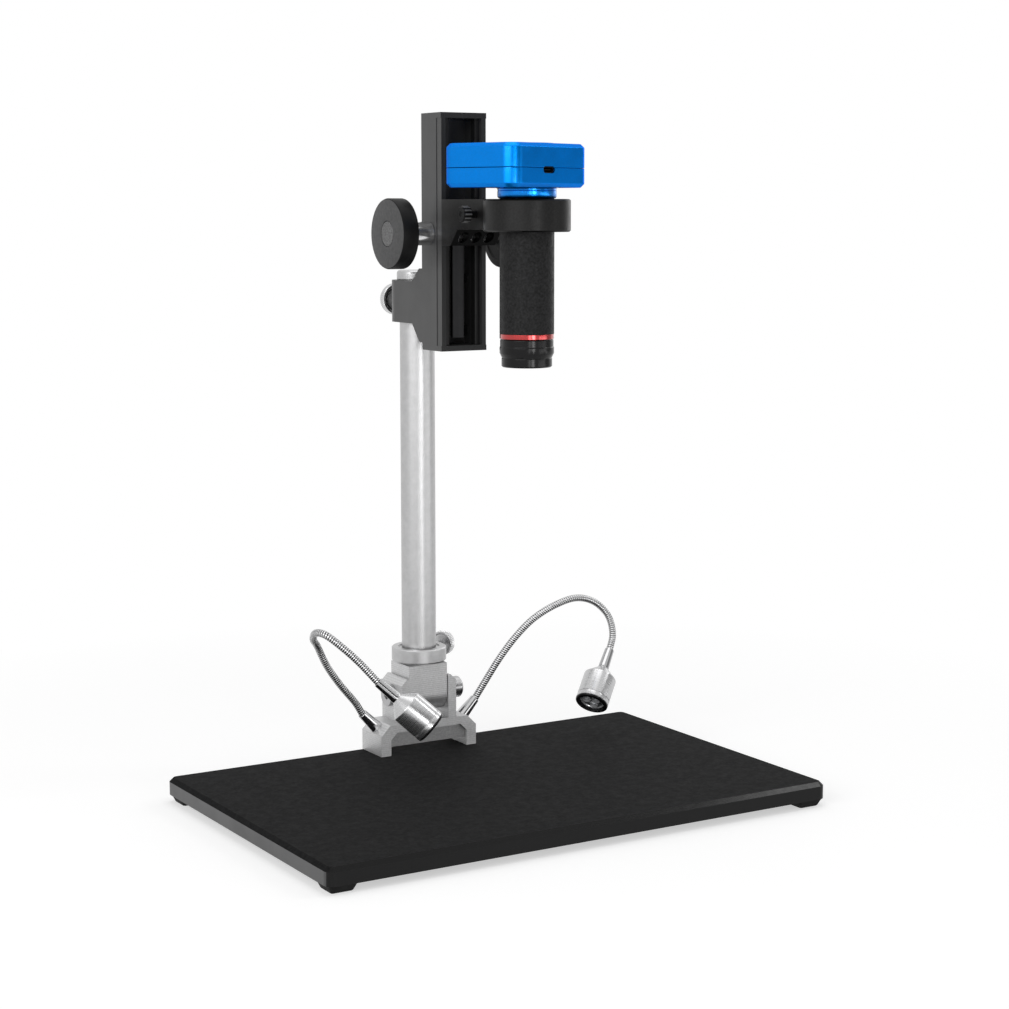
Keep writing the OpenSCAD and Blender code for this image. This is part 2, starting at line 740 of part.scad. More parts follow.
// Faces between rings of n points, numbered from first, and of the flat ring between two circles
function side_faces(first, rings, n) = [for (j = [0:rings - 2], i = [0:n - 1])
    let (a = first + j * n + i, b = first + j * n + (i + 1) % n)
    each [[a, a + n, b], [b, a + n, b + n]]];
function turned(faces) = [for (f = faces) [f[0], f[2], f[1]]];
function end_faces(a, b, n) = [for (i = [0:n - 1]) let (j = (i + 1) % n)
    each [[a + i, a + j, b + j], [a + i, b + j, b + i]]];
// A tube whose outside and bore follow their own rings, which start and end at the same places
module swept_tube(outside, bore, n) {
    m = len(outside) * n;
    last = m + (len(bore) - 1) * n;
    points = [for (ring = concat(outside, bore)) each ring];
    polyhedron(points, concat(side_faces(0, len(outside), n), turned(side_faces(m, len(bore), n)),
        end_faces(0, m, n), end_faces(last, m - n, n)), convexity = 10);
}
// A neck runs straight in its socket and its ferrule, and is ribbed between them
module gooseneck(side) {
    out = [side * sin(socket_angle), 0, cos(socket_angle)];
    foot = [side * socket_x, 0, socket_z];
    seat = foot + (neck_socket_h - neck_seat) * out;
    exit = foot + neck_socket_h * out;
    enter = lamp_at(side);
    seat_in_lamp = enter + neck_seat * beam(side);
    ref = side < 0 ? out : [0, 1, 0];
    first = exit + neck_straight * out;
    last = enter - neck_straight * beam(side);
    q = concat([exit, first], side < 0 ? left_route : right_route, [last, enter]);
    spans = len(q) - 3;
    valley_r = neck_valley_d / 2;
    start = side < 0 ? [0, 0, 1] : ref;
    ribs = [for (k = [0:neck_ribs - 1], crest = [0, 1]) let (s = spans * (k + 0.25 + 0.5 * crest) / neck_ribs)
        ring_points(curve(q, s), slope(q, s), ref, crest == 1 ? neck_d / 2 : valley_r, neck_sides)];
    outside = concat([ring_points(seat, out, start, valley_r, neck_sides),
        ring_points(first, out, start, valley_r, neck_sides)], ribs,
        [ring_points(last, beam(side), ref, valley_r, neck_sides),
            ring_points(seat_in_lamp, beam(side), ref, valley_r, neck_sides)]);
    bends = [for (k = [1:2:neck_ribs - 1]) let (s = spans * k / neck_ribs)
        ring_points(curve(q, s), slope(q, s), ref, wire_d / 2, neck_sides)];
    bore = concat([ring_points(seat, out, start, wire_d / 2, neck_sides),
        ring_points(first, out, start, wire_d / 2, neck_sides)], bends,
        [ring_points(last, beam(side), ref, wire_d / 2, neck_sides),
            ring_points(seat_in_lamp, beam(side), ref, wire_d / 2, neck_sides)]);
    color(chrome) at_stand() swept_tube(outside, bore, neck_sides);
}

// The block is round below its axis, so that it can tilt between the ears
module tilt_block() {
    color(silver) difference() {
        union() {
            at_stand() translate([-block_w / 2, -block_d / 2, pivot_h])
                cube([block_w, block_d, block_h - pivot_h]);
            at_pivot() x_rod(block_d, -block_w / 2, block_w / 2);
            at_stand() z_rod(spigot_d, block_h, collar_bottom);
        }
        at_pivot() x_rod(bolt_d + 2 * fit_clear, -ear_gap, ear_gap);
        at_stand() z_rod(pillar_d + 2 * fit_clear, pillar_bottom, collar_bottom + cut);
    }
}
module at_collar_screw() {
    at_stand() translate([0, 0, collar_screw_h]) rotate([0, 90, 90 - collar_screw_turn]) children();
}
module pillar_collar() {
    color(silver) difference() {
        at_stand() translate([0, 0, collar_bottom]) edged_disc(collar_d, collar_h, collar_gap / 2);
        at_stand() z_rod(pillar_d + 2 * fit_clear, block_h, collar_top + cut);
        at_stand() z_rod(collar_recess_d, collar_top - collar_recess, collar_top + cut);
        at_collar_screw() z_rod(collar_screw_d + 2 * fit_clear, 0, collar_d);
    }
}
// A thumbscrew along +Z whose knob's inner face lies at reach
module thumbscrew(d, knob_d, knob_t, reach) {
    z_rod(d, pillar_d / 2 + run_gap, reach);
    translate([0, 0, reach]) edged_disc(knob_d, knob_t, knob_t / 8);
}
module collar_thumbscrew() {
    color(chrome) at_collar_screw()
        thumbscrew(collar_screw_d, collar_knob_d, collar_knob_t, collar_knob_reach);
}
module pillar() {
    color(silver) at_stand() difference() {
        z_rod(pillar_d, pillar_bottom, pillar_h);
        z_rod(pillar_bore, pillar_bottom - cut, pillar_h + cut);
    }
}
module pillar_cap() {
    r = cap_d / 2;
    round_r = cap_h / 3;
    plug = pillar_bore / 2;
    top = pillar_h + cap_h;
    corner = [for (a = [0:15:90]) [r - round_r + round_r * cos(a), top - round_r + round_r * sin(a)]];
    color(silver) at_stand() rotate_extrude() polygon(concat([[0, pillar_h - cap_plug_h],
        [plug, pillar_h - cap_plug_h], [plug, pillar_h], [r, pillar_h]], corner, [[0, top]]));
}

// Side view of the clamp in front of the pillar: its web flares to the flange on the rail
module clamp_outline() {
    flare = rail_back - flange_t;
    waist = flare - clamp_flare;
    polygon([[0, clamp_bottom], [-waist, clamp_bottom], [-flare, flange_bottom],
        [-rail_back, flange_bottom], [-rail_back, flange_top], [-flare, flange_top],
        [-waist, clamp_top], [0, clamp_top]]);
}
module rail_clamp() {
    color(soft_black) difference() {
        at_stand() {
            across_x(rail_w) clamp_outline();
            z_rod(rail_w, clamp_bottom, clamp_top);
            translate([0, 0, clamp_mid]) y_rod(boss_d, 0, boss_reach);
        }
        at_stand() z_rod(pillar_d + 2 * fit_clear, clamp_bottom - cut, clamp_top + cut);
        at_stand() translate([0, 0, clamp_mid]) y_rod(clamp_screw_d + 2 * fit_clear, 0, boss_reach + cut);
        at_rail_screws() y_rod(rail_screw_d, 0, rail_screw_reach);
    }
}
// The screws' heads bear on the rail's rear wall from inside
module at_rail_screws() {
    for (sx = [-1, 1], z = [flange_bottom + rail_screw_edge, flange_top - rail_screw_edge])
        at_rail() translate([sx * rail_screw_x, channel_d, z]) children();
}
module clamp_thumbscrew() {
    color(chrome) at_stand() translate([0, 0, clamp_mid]) rotate([-90, 0, 0])
        thumbscrew(clamp_screw_d, clamp_knob_d, clamp_knob_t, boss_reach + run_gap);
}
// The rail's plan: a U, open in front, a little narrower along its front edges
module rail_outline() {
    outer = rail_w / 2;
    both_halves([[outer - rail_step_t, 0], [outer - rail_step_t, rail_step_w], [outer, rail_step_w],
        [outer, rail_d]]);
}
module rail_housing() {
    color(soft_black) difference() {
        at_rail() translate([0, 0, channel_bottom]) linear_extrude(channel_top - channel_bottom)
            difference() {
                rail_outline();
                translate([-channel_half, -cut]) square([2 * channel_half, channel_d + cut]);
            }
        at_shaft() x_rod(sleeve_spigot_d, -rail_w, rail_w);
        at_rail_screws() y_rod(rail_screw_d, -cut, rail_wall + cut);
        at_cap_screws() z_rod(cap_screw_d, -cap_screw_length, 0);
    }
}
// The screws of both caps, in the rail's rear corners; +Z is outward
module at_cap_screws() {
    for (sx = [-1, 1]) at_rail() translate([sx * channel_half, channel_d + rail_wall / 2, 0]) {
        translate([0, 0, rail_top]) children();
        translate([0, 0, rail_bottom]) rotate([180, 0, 0]) children();
    }
}
module rail_cap(z) {
    color(soft_black) difference() {
        at_rail() translate([-rail_w / 2, 0, z]) cube([rail_w, rail_d, rail_cap_t]);
        cap_screws_solid();
    }
}
module rail_top_cap() {
    rail_cap(channel_top);
}
module rail_bottom_cap() {
    rail_cap(rail_bottom);
}
module cap_screws_solid() {
    at_cap_screws() countersunk_screw(cap_screw_d, cap_screw_head_d, cap_screw_head_h, cap_screw_length);
}
module cap_screws() {
    color(steel) cap_screws_solid();
}
module rail_screws() {
    color(steel) at_rail_screws() rotate([90, 0, 0])
        socket_screw(rail_screw_d, rail_screw_head_d, rail_screw_head_h, rail_screw_reach);
}
module guide_strips() {
    color(deep_black) at_rail() for (x = [-channel_half, guide_in])
        translate([x, guide_set, channel_bottom]) cube([guide_t, guide_d, channel_top - channel_bottom]);
}
// Fixed steel sleeves that carry the shaft in both walls of the rail
module shaft_sleeves() {
    outer = rail_w / 2;
    color(chrome) at_shaft() for (side = [-1, 1]) scale([side, 1, 1]) difference() {
        union() {
            x_rod(sleeve_d, outer, knob_reach - run_gap);
            x_rod(sleeve_spigot_d, outer - rail_wall, outer);
        }
        x_rod(shaft_d + 2 * fit_clear, 0, knob_reach + cut);
    }
}
module focus_shaft() {
    reach = knob_reach + knob_t - knob_disc_t;
    color(steel) at_shaft() x_rod(shaft_d, -reach, reach);
}
function involute(a) = tan(a) * 180 / PI - a;
// Half the angle of a pinion tooth at radius r
function tooth_half(r) = 90 / pinion_teeth + involute(pressure_angle)
    - involute(acos(base_r / max(r, base_r))) - backlash / 2 / pitch_r * 180 / PI;
function polar(r, a) = [r * cos(a), r * sin(a)];
module pinion_outline() {
    radii = [root_r, base_r, (base_r + pitch_r) / 2, pitch_r, (pitch_r + tip_r) / 2, tip_r];
    n = len(radii);
    polygon([for (k = [0:pinion_teeth - 1]) let (mid = full_turn * k / pinion_teeth) each concat(
        [for (i = [0:n - 1]) polar(radii[i], mid - tooth_half(radii[i]))],
        [for (i = [n - 1:-1:0]) polar(radii[i], mid + tooth_half(radii[i]))])]);
}
// One tooth points forward, into a gap of the rack
module pinion() {
    color(steel) at_shaft() difference() {
        across_x(pinion_w) rotate([0, 0, 180]) pinion_outline();
        x_rod(shaft_d, -pinion_w, pinion_w);
    }
}
module at_knob(side) {
    at_shaft() scale([side, 1, 1]) translate([knob_reach, 0, 0]) rotate([0, 90, 0]) children();
}
module focus_knob(side) {
    color(deep_black) at_knob(side) difference() {
        edged_disc(knob_d, knob_t, knob_edge);
        z_rod(shaft_d, -cut, knob_t);
        z_rod(knob_disc_d, knob_t - knob_disc_t, knob_t + cut);
    }
}
module knob_discs() {
    color(soft_black) for (side = [-1, 1]) at_knob(side) z_rod(knob_disc_d, knob_t - knob_disc_t, knob_t);
}

// The slider's plan: it holds both guide strips and leaves a slot for rack and pinion
module slider_outline() {
    wide = channel_half - run_gap;
    narrow = guide_in - run_gap;
    behind = guide_back + run_gap;
    back = behind + slider_keep_d;
    both_halves([[wide, -run_gap], [wide, slider_front_d], [narrow, slider_front_d], [narrow, behind],
        [wide, behind], [wide, back], [slider_slot_half, back], [slider_slot_half, rack_front]]);
}
module carriage_slider() {
    color(soft_black) difference() {
        at_rail() translate([0, 0, carriage_bottom]) linear_extrude(carriage_h) slider_outline();
        at_arm_screws() y_rod(arm_screw_d, -cut, arm_screw_grip);
    }
}
// Places of the arm's screws, on the slider's front face
module at_arm_screws() {
    at_rail() for (x = [-arm_screw_x, 0, arm_screw_x]) translate([x, -run_gap, arm_screw_z]) children();
}
// Side view of the rack: its teeth point back to the pinion
module rack_outline() {
    half = tooth_pitch / 4 - backlash / 2;
    tip = half - tooth_module * tan(pressure_angle);
    root = half + dedendum * tan(pressure_angle);
    first = ceil((rack_bottom - shaft_h) / tooth_pitch);
    last = floor((arm_top - shaft_h) / tooth_pitch) - 1;
    teeth = [for (k = [last:-1:first]) let (z = shaft_h + (k + 0.5) * tooth_pitch)
        each [[rack_root, z + root], [rack_tip, z + tip], [rack_tip, z - tip], [rack_root, z - root]]];
    polygon(concat([[rack_front, rack_bottom], [rack_front, arm_top], [rack_root, arm_top]], teeth,
        [[rack_root, rack_bottom]]));
}
module focus_rack() {
    color(steel) at_rail() across_x(rack_w) rack_outline();
}
// Side view of the arm, bolted to the slider
module arm_outline() {
    reach = lens_reach - rail_reach;
    polygon([[-run_gap, carriage_bottom], [-run_gap, arm_top], [-reach, arm_top], [-reach, arm_bottom],
        [-arm_web_t, arm_bottom], [-arm_root_t, carriage_bottom]]);
}
module lens_arm() {
    color(soft_black) difference() {
        union() {
            at_rail() across_x(rail_w) arm_outline();
            at_lens() translate([0, 0, ring_bottom]) edged_disc(ring_d, ring_h, ring_chamfer);
        }
        at_lens() z_rod(lens_d + 2 * fit_clear, ring_bottom - cut, arm_top + cut);
        at_lens() translate([-slot_w / 2, 0, ring_bottom - cut])
            cube([slot_w, pinch_reach + slot_past, ring_h + 2 * cut]);
        at_pinch() x_rod(pinch_d + 2 * fit_clear, -rail_w, pinch_grip + run_gap);
        at_arm_screws() {
            y_rod(arm_screw_d, -arm_web_t, cut);
            y_rod(arm_screw_head_d + run_gap, -arm_web_t, -arm_screw_seat);
        }
    }
}
module arm_screws() {
    color(steel) at_arm_screws() translate([0, -arm_screw_seat, 0]) rotate([90, 0, 0])
        socket_screw(arm_screw_d, arm_screw_head_d, arm_screw_head_h, arm_screw_seat + arm_screw_grip);
}
// The clamping screw crosses the slot behind the ring
module at_pinch() {
    at_lens() translate([0, pinch_reach, pinch_h]) children();
}
module pinch_screw() {
    head = -rail_w / 2 - pinch_neck;
    color(deep_black) at_pinch() {
        x_rod(pinch_d, head, pinch_grip);
        translate([head, 0, 0]) rotate([0, -90, 0])
            edged_disc(pinch_head_d, pinch_head_h, pinch_head_h / 8);
    }
}

// The barrel ends in a spigot for the nose below and in the camera's thread above
module lens_barrel() {
    thread_r = mount_thread_d / 2;
    thread_top = mount_ring_top + lens_wall;
    spigot_bottom = nose_flange + nose_edge;
    color(matt_black) at_lens() rotate_extrude()
        polygon([[barrel_bore_r, spigot_bottom], [nose_spigot_r, spigot_bottom],
            [nose_spigot_r, nose_top], [barrel_r, nose_top], [barrel_r, accent_top],
            [lens_r, accent_top], [lens_r, lens_seat], [thread_r, lens_seat], [thread_r, thread_top],
            [barrel_bore_r, thread_top]]);
}
module accent_ring() {
    color(accent_red) at_lens() rotate_extrude()
        polygon([[barrel_r, nose_top], [lens_r, nose_top], [lens_r, accent_top], [barrel_r, accent_top]]);
}
module rear_lens() {
    top = lens_seat - rear_lens_drop;
    color(glass) at_lens() z_rod(2 * barrel_bore_r, top - rear_lens_t, top);
}
// The nose turns on the barrel's spigot and holds the front lens
module nose_ring() {
    bearing_r = nose_spigot_r + fit_clear;
    bore_r = nose_bore_d / 2;
    tip = nose_d / 2;
    rim = nose_flange + nose_flange_h;
    top = nose_top - run_gap;
    e = nose_edge;
    color(matt_black) at_lens() rotate_extrude()
        polygon([[bore_r, nose_bottom], [tip - 2 * e, nose_bottom], [tip, nose_bottom + 2 * e],
            [tip, nose_taper - 2 * e], [tip - e, nose_taper - e], [tip, nose_taper],
            [lens_r, nose_flange], [lens_r, rim], [lens_r - e, rim + e], [lens_r - e, top - e],
            [lens_r - 2 * e, top], [bearing_r, top], [bearing_r, nose_flange],
            [front_lens_r, nose_flange], [front_lens_r, front_lens_seat], [bore_r, front_lens_seat]]);
}
module front_lens() {
    bore_r = nose_bore_d / 2;
    flat_top = front_lens_seat + front_lens_t - front_lens_dome;
    color(glass) at_lens() rotate_extrude()
        polygon([[0, front_lens_seat - front_lens_dome],
            [bore_r / 2, front_lens_seat - 0.75 * front_lens_dome], [bore_r, front_lens_seat],
            [front_lens_r, front_lens_seat], [front_lens_r, flat_top], [0, flat_top]]);
}
module mount_ring() {
    r = mount_ring_d / 2;
    inner = mount_thread_d / 2;
    e = 2 * nose_edge;
    color(camera_blue) at_lens() rotate_extrude()
        polygon([[inner, lens_seat], [r - e, lens_seat], [r, lens_seat + e], [r, mount_ring_top],
            [inner, mount_ring_top]]);
}

// A block of the camera's plan between two heights, drawn in all round
module camera_block(from, to, inset) {
    translate([camera_mid, 0, from]) linear_extrude(to - from)
        round_rect(camera_w - 2 * inset, camera_d - 2 * inset, camera_corner_r - inset);
}
module camera_bevel() {
    translate([camera_mid, 0, 0]) bevel_slab(camera_w, camera_d, camera_corner_r, camera_chamfer);
}
// A bar with round sides from y0 to y1 at the socket's opening
module port_bar(w, h, y0, y1) {
    translate([port_x, 0, port_z]) across_y(y1 - y0, y1) {
        square([w - h, h], center = true);
        for (sx = [-1, 1])
            translate([sx * (w - h) / 2, 0]) circle(d = h);
    }
}
module at_board_posts() {
    inset = camera_wall + camera_corner_r;
    for (sx = [-1, 1], sy = [-1, 1])
        translate([camera_mid + sx * (camera_w / 2 - inset), sy * (camera_d / 2 - inset), 0]) children();
}
module camera_lower_shell() {
    color(camera_blue) at_camera() difference() {
        union() {
            camera_block(camera_bottom + camera_chamfer, camera_seam, 0);
            translate([0, 0, camera_bottom + camera_chamfer]) rotate([180, 0, 0]) camera_bevel();
            translate([0, 0, mount_ring_top])
                cylinder(d1 = mount_ring_d, d2 = mount_ring_d + camera_step_h, h = camera_step_h);
        }
        difference() {
            camera_block(camera_floor, camera_seam + cut, camera_wall);
            at_board_posts() z_rod(post_d, camera_floor, board_z - board_t);
            z_rod(mount_ring_d, camera_floor, camera_floor + camera_wall);
        }
        z_rod(mount_thread_d, mount_ring_top - cut, camera_seam);
        port_bar(port_w, port_h, -camera_d, 0);
    }
}
module camera_upper_shell() {
    color(camera_blue) at_camera() difference() {
        union() {
            camera_block(camera_seam, camera_top - camera_chamfer, 0);
            translate([0, 0, camera_top - camera_chamfer]) camera_bevel();
            translate([0, 0, camera_top])
                cylinder(d1 = camera_boss_d + 2 * camera_boss_h, d2 = camera_boss_d, h = camera_boss_h);
        }
        camera_block(camera_seam - cut, camera_top - camera_wall, camera_wall);
        port_bar(port_w, port_h, -camera_d, 0);
    }
}
module camera_board() {
    color(board_green) at_camera() difference() {
        camera_block(board_z - board_t, board_z, camera_wall + board_gap);
        at_board_posts() z_rod(board_hole_d, camera_floor, camera_seam);
    }
}
module image_sensor() {
    color(deep_black) at_camera() translate([-sensor_w / 2, -sensor_d / 2, board_z - board_t - sensor_t])
        cube([sensor_w, sensor_d, sensor_t]);
}
// A metal shell on the board with a tongue in its mouth
module data_socket() {
    back = socket_front + socket_d;
    color(steel) at_camera() {
        difference() {
            port_bar(socket_w, socket_h, socket_front, back);
            port_bar(socket_w - 2 * socket_shell, socket_h - 2 * socket_shell, socket_front - cut,
                back - 2 * socket_shell);
        }
        translate([port_x - socket_w / 3, socket_front + 2 * socket_shell, port_z - socket_shell / 2])
            cube([socket_w / 1.5, socket_d - 3 * socket_shell, socket_shell]);
    }
}

base_plate();
rubber_feet();
stand_bracket();
wiring_cover();
bracket_screws();
tilt_bolt();
tilt_nut();
neck_socket(-1);  // left_neck_socket
neck_socket(1);  // right_neck_socket
gooseneck(-1);  // left_gooseneck
gooseneck(1);  // right_gooseneck
lamp_ferrule(-1);  // left_lamp_ferrule
lamp_head(-1);  // left_lamp_head
lamp_rim(-1);  // left_lamp_rim
lamp_lens(-1);  // left_lamp_lens
lamp_board(-1);  // left_lamp_board
lamp_ferrule(1);  // right_lamp_ferrule
lamp_head(1);  // right_lamp_head
lamp_rim(1);  // right_lamp_rim
lamp_lens(1);  // right_lamp_lens
lamp_board(1);  // right_lamp_board
tilt_block();
pillar_collar();
collar_thumbscrew();
pillar();
pillar_cap();
rail_clamp();
clamp_thumbscrew();
rail_housing();
rail_top_cap();
rail_bottom_cap();
rail_screws();
cap_screws();
guide_strips();
shaft_sleeves();
focus_shaft();
pinion();
focus_knob(-1);  // left_focus_knob
focus_knob(1);  // right_focus_knob
knob_discs();
carriage_slider();
focus_rack();
lens_arm();
arm_screws();
pinch_screw();
lens_barrel();
accent_ring();
rear_lens();
nose_ring();
front_lens();
mount_ring();
camera_lower_shell();
camera_upper_shell();
camera_board();
image_sensor();
data_socket();
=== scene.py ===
"""Looks of a camera microscope on a focusing stand, around its CAD frame. Metres, +Z up, front at -Y."""
import json
import math

import bmesh
import bpy
import numpy as np
from mathutils import Matrix, Vector


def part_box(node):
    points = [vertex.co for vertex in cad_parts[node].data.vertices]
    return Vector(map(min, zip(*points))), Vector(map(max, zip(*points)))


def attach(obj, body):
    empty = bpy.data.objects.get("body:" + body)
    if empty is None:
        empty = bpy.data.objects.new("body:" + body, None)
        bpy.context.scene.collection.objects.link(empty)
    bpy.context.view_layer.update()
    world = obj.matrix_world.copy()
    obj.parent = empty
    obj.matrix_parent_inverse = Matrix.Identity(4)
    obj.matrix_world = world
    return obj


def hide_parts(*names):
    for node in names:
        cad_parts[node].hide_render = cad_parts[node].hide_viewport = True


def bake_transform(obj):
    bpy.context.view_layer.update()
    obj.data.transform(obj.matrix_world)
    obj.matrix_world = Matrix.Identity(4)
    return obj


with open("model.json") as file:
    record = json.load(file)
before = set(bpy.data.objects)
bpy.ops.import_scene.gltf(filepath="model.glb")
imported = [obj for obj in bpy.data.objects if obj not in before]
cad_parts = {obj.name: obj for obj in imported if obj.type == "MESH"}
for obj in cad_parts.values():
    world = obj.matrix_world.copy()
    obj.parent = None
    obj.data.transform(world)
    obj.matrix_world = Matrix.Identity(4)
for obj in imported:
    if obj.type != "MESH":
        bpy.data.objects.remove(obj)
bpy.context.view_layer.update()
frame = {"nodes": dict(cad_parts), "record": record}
BODY_OF = {n: body for body, names in frame["record"]["behaviour"]["bodies"].items() for n in names}
MM = 0.001

# Places on the object, in the part's frame
PLATE_TOP = 14.0 * MM
PILLAR_Y = 86.7 * MM
STAND_FOOT = Vector((0.0, PILLAR_Y, PLATE_TOP))
LENS = Vector((0.0, -32.5, 0.0)) * MM
SHAFT = Vector((0.0, 46.4, 314.4)) * MM
PINCH_SCREW = Vector((0.0, -3.9, 325.0)) * MM
COLLAR_SCREW = Vector((0.0, PILLAR_Y, 71.284 * MM))
CLAMP_SCREW = Vector((0.0, PILLAR_Y, 275.85 * MM))
COLLAR_SCREW_TURN = math.radians(60)
CAMERA_TURN = math.radians(18.5)
SIDE_NAME = {-1: "left", 1: "right"}

# Camera that took the reference view
EYE = Vector((-0.601, -0.9983, 0.328))
LOOK_TURN = math.radians(31.3)
LOOK_DOWN = math.radians(7.82)
FOCAL_MM = 76.85
SENSOR_MM = 36.0


# Materials

def srgb(r, g, b):
    """Linear colour from 8-bit display values."""
    def linear(v):
        v /= 255
        return v / 12.92 if v <= 0.04045 else ((v + 0.055) / 1.055) ** 2.4
    return (linear(r), linear(g), linear(b))


def scaled(tone, by):
    """A colour made darker or lighter, with full opacity."""
    return (tone[0] * by, tone[1] * by, tone[2] * by, 1.0)


def feed(tree, sockets, values):
    """Give each socket its value: a link where it is a node's output, or a constant."""
    for socket, value in zip(sockets, values):
        if hasattr(value, "is_output"):
            tree.links.new(value, socket)
        else:
            socket.default_value = value


def calculated(tree, operation, *values):
    """Output of a Math node."""
    node = tree.nodes.new("ShaderNodeMath")
    node.operation = operation
    feed(tree, node.inputs, values)
    return node.outputs[0]


class Surface:
    """A Principled material that is built up from noise, grain and tool marks."""

    def __init__(self, name, metallic=0.0, coat=0.0, coat_rough=0.1, specular=0.5, anisotropic=0.0):
        self.material = bpy.data.materials.new(name)
        self.material.use_nodes = True
        self.tree = self.material.node_tree
        self.shader = next(n for n in self.tree.nodes if n.type == "BSDF_PRINCIPLED")
        self.place = self.add("ShaderNodeTexCoord").outputs["Object"]
        self.normal = None
        for socket, value in (("Metallic", metallic), ("Coat Weight", coat), ("Coat Roughness", coat_rough),
                              ("Specular IOR Level", specular), ("Anisotropic", anisotropic)):
            self.shader.inputs[socket].default_value = value

    def add(self, kind, **settings):
        node = self.tree.nodes.new(kind)
        for key, value in settings.items():
            setattr(node, key, value)
        return node

    def link(self, source, target):
        self.tree.links.new(source, target)

    def math(self, operation, *values):
        return calculated(self.tree, operation, *values)

    def vector(self, operation, *values):
        node = self.add("ShaderNodeVectorMath", operation=operation)
        feed(self.tree, [s for s in node.inputs if s.type == "VECTOR"], values)
        return node

    def stretched(self, scale):
        """Place stretched along the axes, for grain that runs one way."""
        return self.vector("MULTIPLY", self.place, scale).outputs["Vector"]

    def noise(self, scale, detail=3.0, roughness=0.5, place=None):
        node = self.add("ShaderNodeTexNoise")
        node.inputs["Scale"].default_value = scale
        node.inputs["Detail"].default_value = detail
        node.inputs["Roughness"].default_value = roughness
        self.link(place or self.place, node.inputs["Vector"])
        return node.outputs["Fac"]

    def dot(self, first, second):
        return self.vector("DOT_PRODUCT", first, second).outputs["Value"]

    def seen_from(self, centre):
        """The way from a centre to the place."""
        return self.vector("SUBTRACT", self.place, centre).outputs["Vector"]

    def about(self, centre, axis):
        """How far a place lies along an axis through centre, and how far off that axis."""
        way = self.seen_from(centre)
        along, square = self.dot(way, axis), self.dot(way, way)
        off = self.math("SUBTRACT", square, self.math("MULTIPLY", along, along))
        return along, self.math("SQRT", self.math("MAXIMUM", off, 0.0))

    def lathe_noise(self, centre, axis, scale):
        """Noise in rings round an axis, for lathe marks."""
        node = self.add("ShaderNodeTexNoise", noise_dimensions="1D")
        node.inputs["Scale"].default_value = scale
        node.inputs["Detail"].default_value = 2.0
        self.link(self.math("ADD", *self.about(centre, axis)), node.inputs["W"])
        return node.outputs["Fac"]

    def ranged(self, fac, low=0.0, high=1.0, start=0.3, end=0.7):
        """A number that runs from low to high while fac runs from start to end."""
        node = self.add("ShaderNodeMapRange")
        for socket, value in (("From Min", start), ("From Max", end), ("To Min", low), ("To Max", high)):
            node.inputs[socket].default_value = value
        self.link(fac, node.inputs["Value"])
        return node.outputs["Result"]

    def mixed(self, fac, first, second):
        """The first colour where fac is 0, the second where it is 1."""
        node = self.add("ShaderNodeMix", data_type="RGBA")
        self.link(fac, node.inputs["Factor"])
        feed(self.tree, [s for s in node.inputs if s.type == "RGBA"], (first, second))
        return next(s for s in node.outputs if s.type == "RGBA")

    def colour(self, source):
        self.link(source, self.shader.inputs["Base Color"])
        return self

    def tone(self, fac, tone, low, high):
        """A colour that varies from low to high times its own brightness."""
        return self.colour(self.mixed(self.ranged(fac), scaled(tone, low), scaled(tone, high)))

    def rough(self, fac, low, high):
        self.link(self.ranged(fac, low, high), self.shader.inputs["Roughness"])
        return self

    def bump(self, height, strength, depth):
        node = self.add("ShaderNodeBump")
        node.inputs["Strength"].default_value = strength
        node.inputs["Distance"].default_value = depth
        self.link(height, node.inputs["Height"])
        if self.normal:
            self.link(self.normal, node.inputs["Normal"])
        self.normal = node.outputs["Normal"]
        self.link(self.normal, self.shader.inputs["Normal"])
        return self


def powder_black(name, tone, grain, strength, rough, specular=0.35):
    """Fine powder coat or blasted and anodised metal."""
    s = Surface(name, specular=specular)
    s.tone(s.noise(grain / 2, 3), tone, 0.6, 1.4)
    s.rough(s.noise(240, 3), *rough)
    return s.bump(s.noise(grain, 2), strength, 0.06 * MM).material


def arm_black(name, tone, gloss):
    """Powder coat with painted shade under the arm: the foot below the arm's underside is coloured near black
    and made duller.
    """
    shade_top, shade_left, blur = 316.6 * MM, -14.2 * MM, 0.3 * MM
    s = Surface(name)
    # Painted shade: the mask marks the foot below and right of the arm's underside, where shade falls
    below = s.ranged(s.dot(s.place, (0, 0, 1)), 1.0, 0.0, shade_top, shade_top + blur)
    right = s.ranged(s.dot(s.place, (1, 0, 0)), 0.0, 1.0, shade_left, shade_left + blur)
    painted_shade = s.math("MULTIPLY", below, right)
    grain = s.ranged(s.noise(1000, 3))
    coated = s.mixed(grain, scaled(tone, 0.6), scaled(tone, 1.4))
    # The painted shade takes the colour near black and the specular level down to a fifth
    s.colour(s.mixed(painted_shade, coated, (0.0025, 0.0025, 0.0025, 1)))
    s.link(s.ranged(painted_shade, gloss, gloss * 0.2, 0.0, 1.0), s.shader.inputs["Specular IOR Level"])
    s.rough(s.noise(240, 3), 0.32, 0.42)
    return s.bump(s.noise(2000, 2), 0.25, 0.06 * MM).material


def extruded_black(name, tone, gloss, lip_y=None):
    """Anodised extrusion with faint lines along its length and duller cut lips in front of lip_y."""
    s = Surface(name, specular=gloss)
    if lip_y is not None:
        duller = s.ranged(s.dot(s.place, (0, 1, 0)), gloss * 0.25, gloss, lip_y, lip_y + 0.2 * MM)
        s.link(duller, s.shader.inputs["Specular IOR Level"])
    lines = s.noise(1.0, 3, place=s.stretched((3200, 3200, 14)))
    s.tone(lines, tone, 0.86, 1.16)
    s.rough(s.noise(60, 3), 0.31, 0.42)
    return s.bump(lines, 0.10, 0.05 * MM).bump(s.noise(2600, 2), 0.08, 0.04 * MM).material


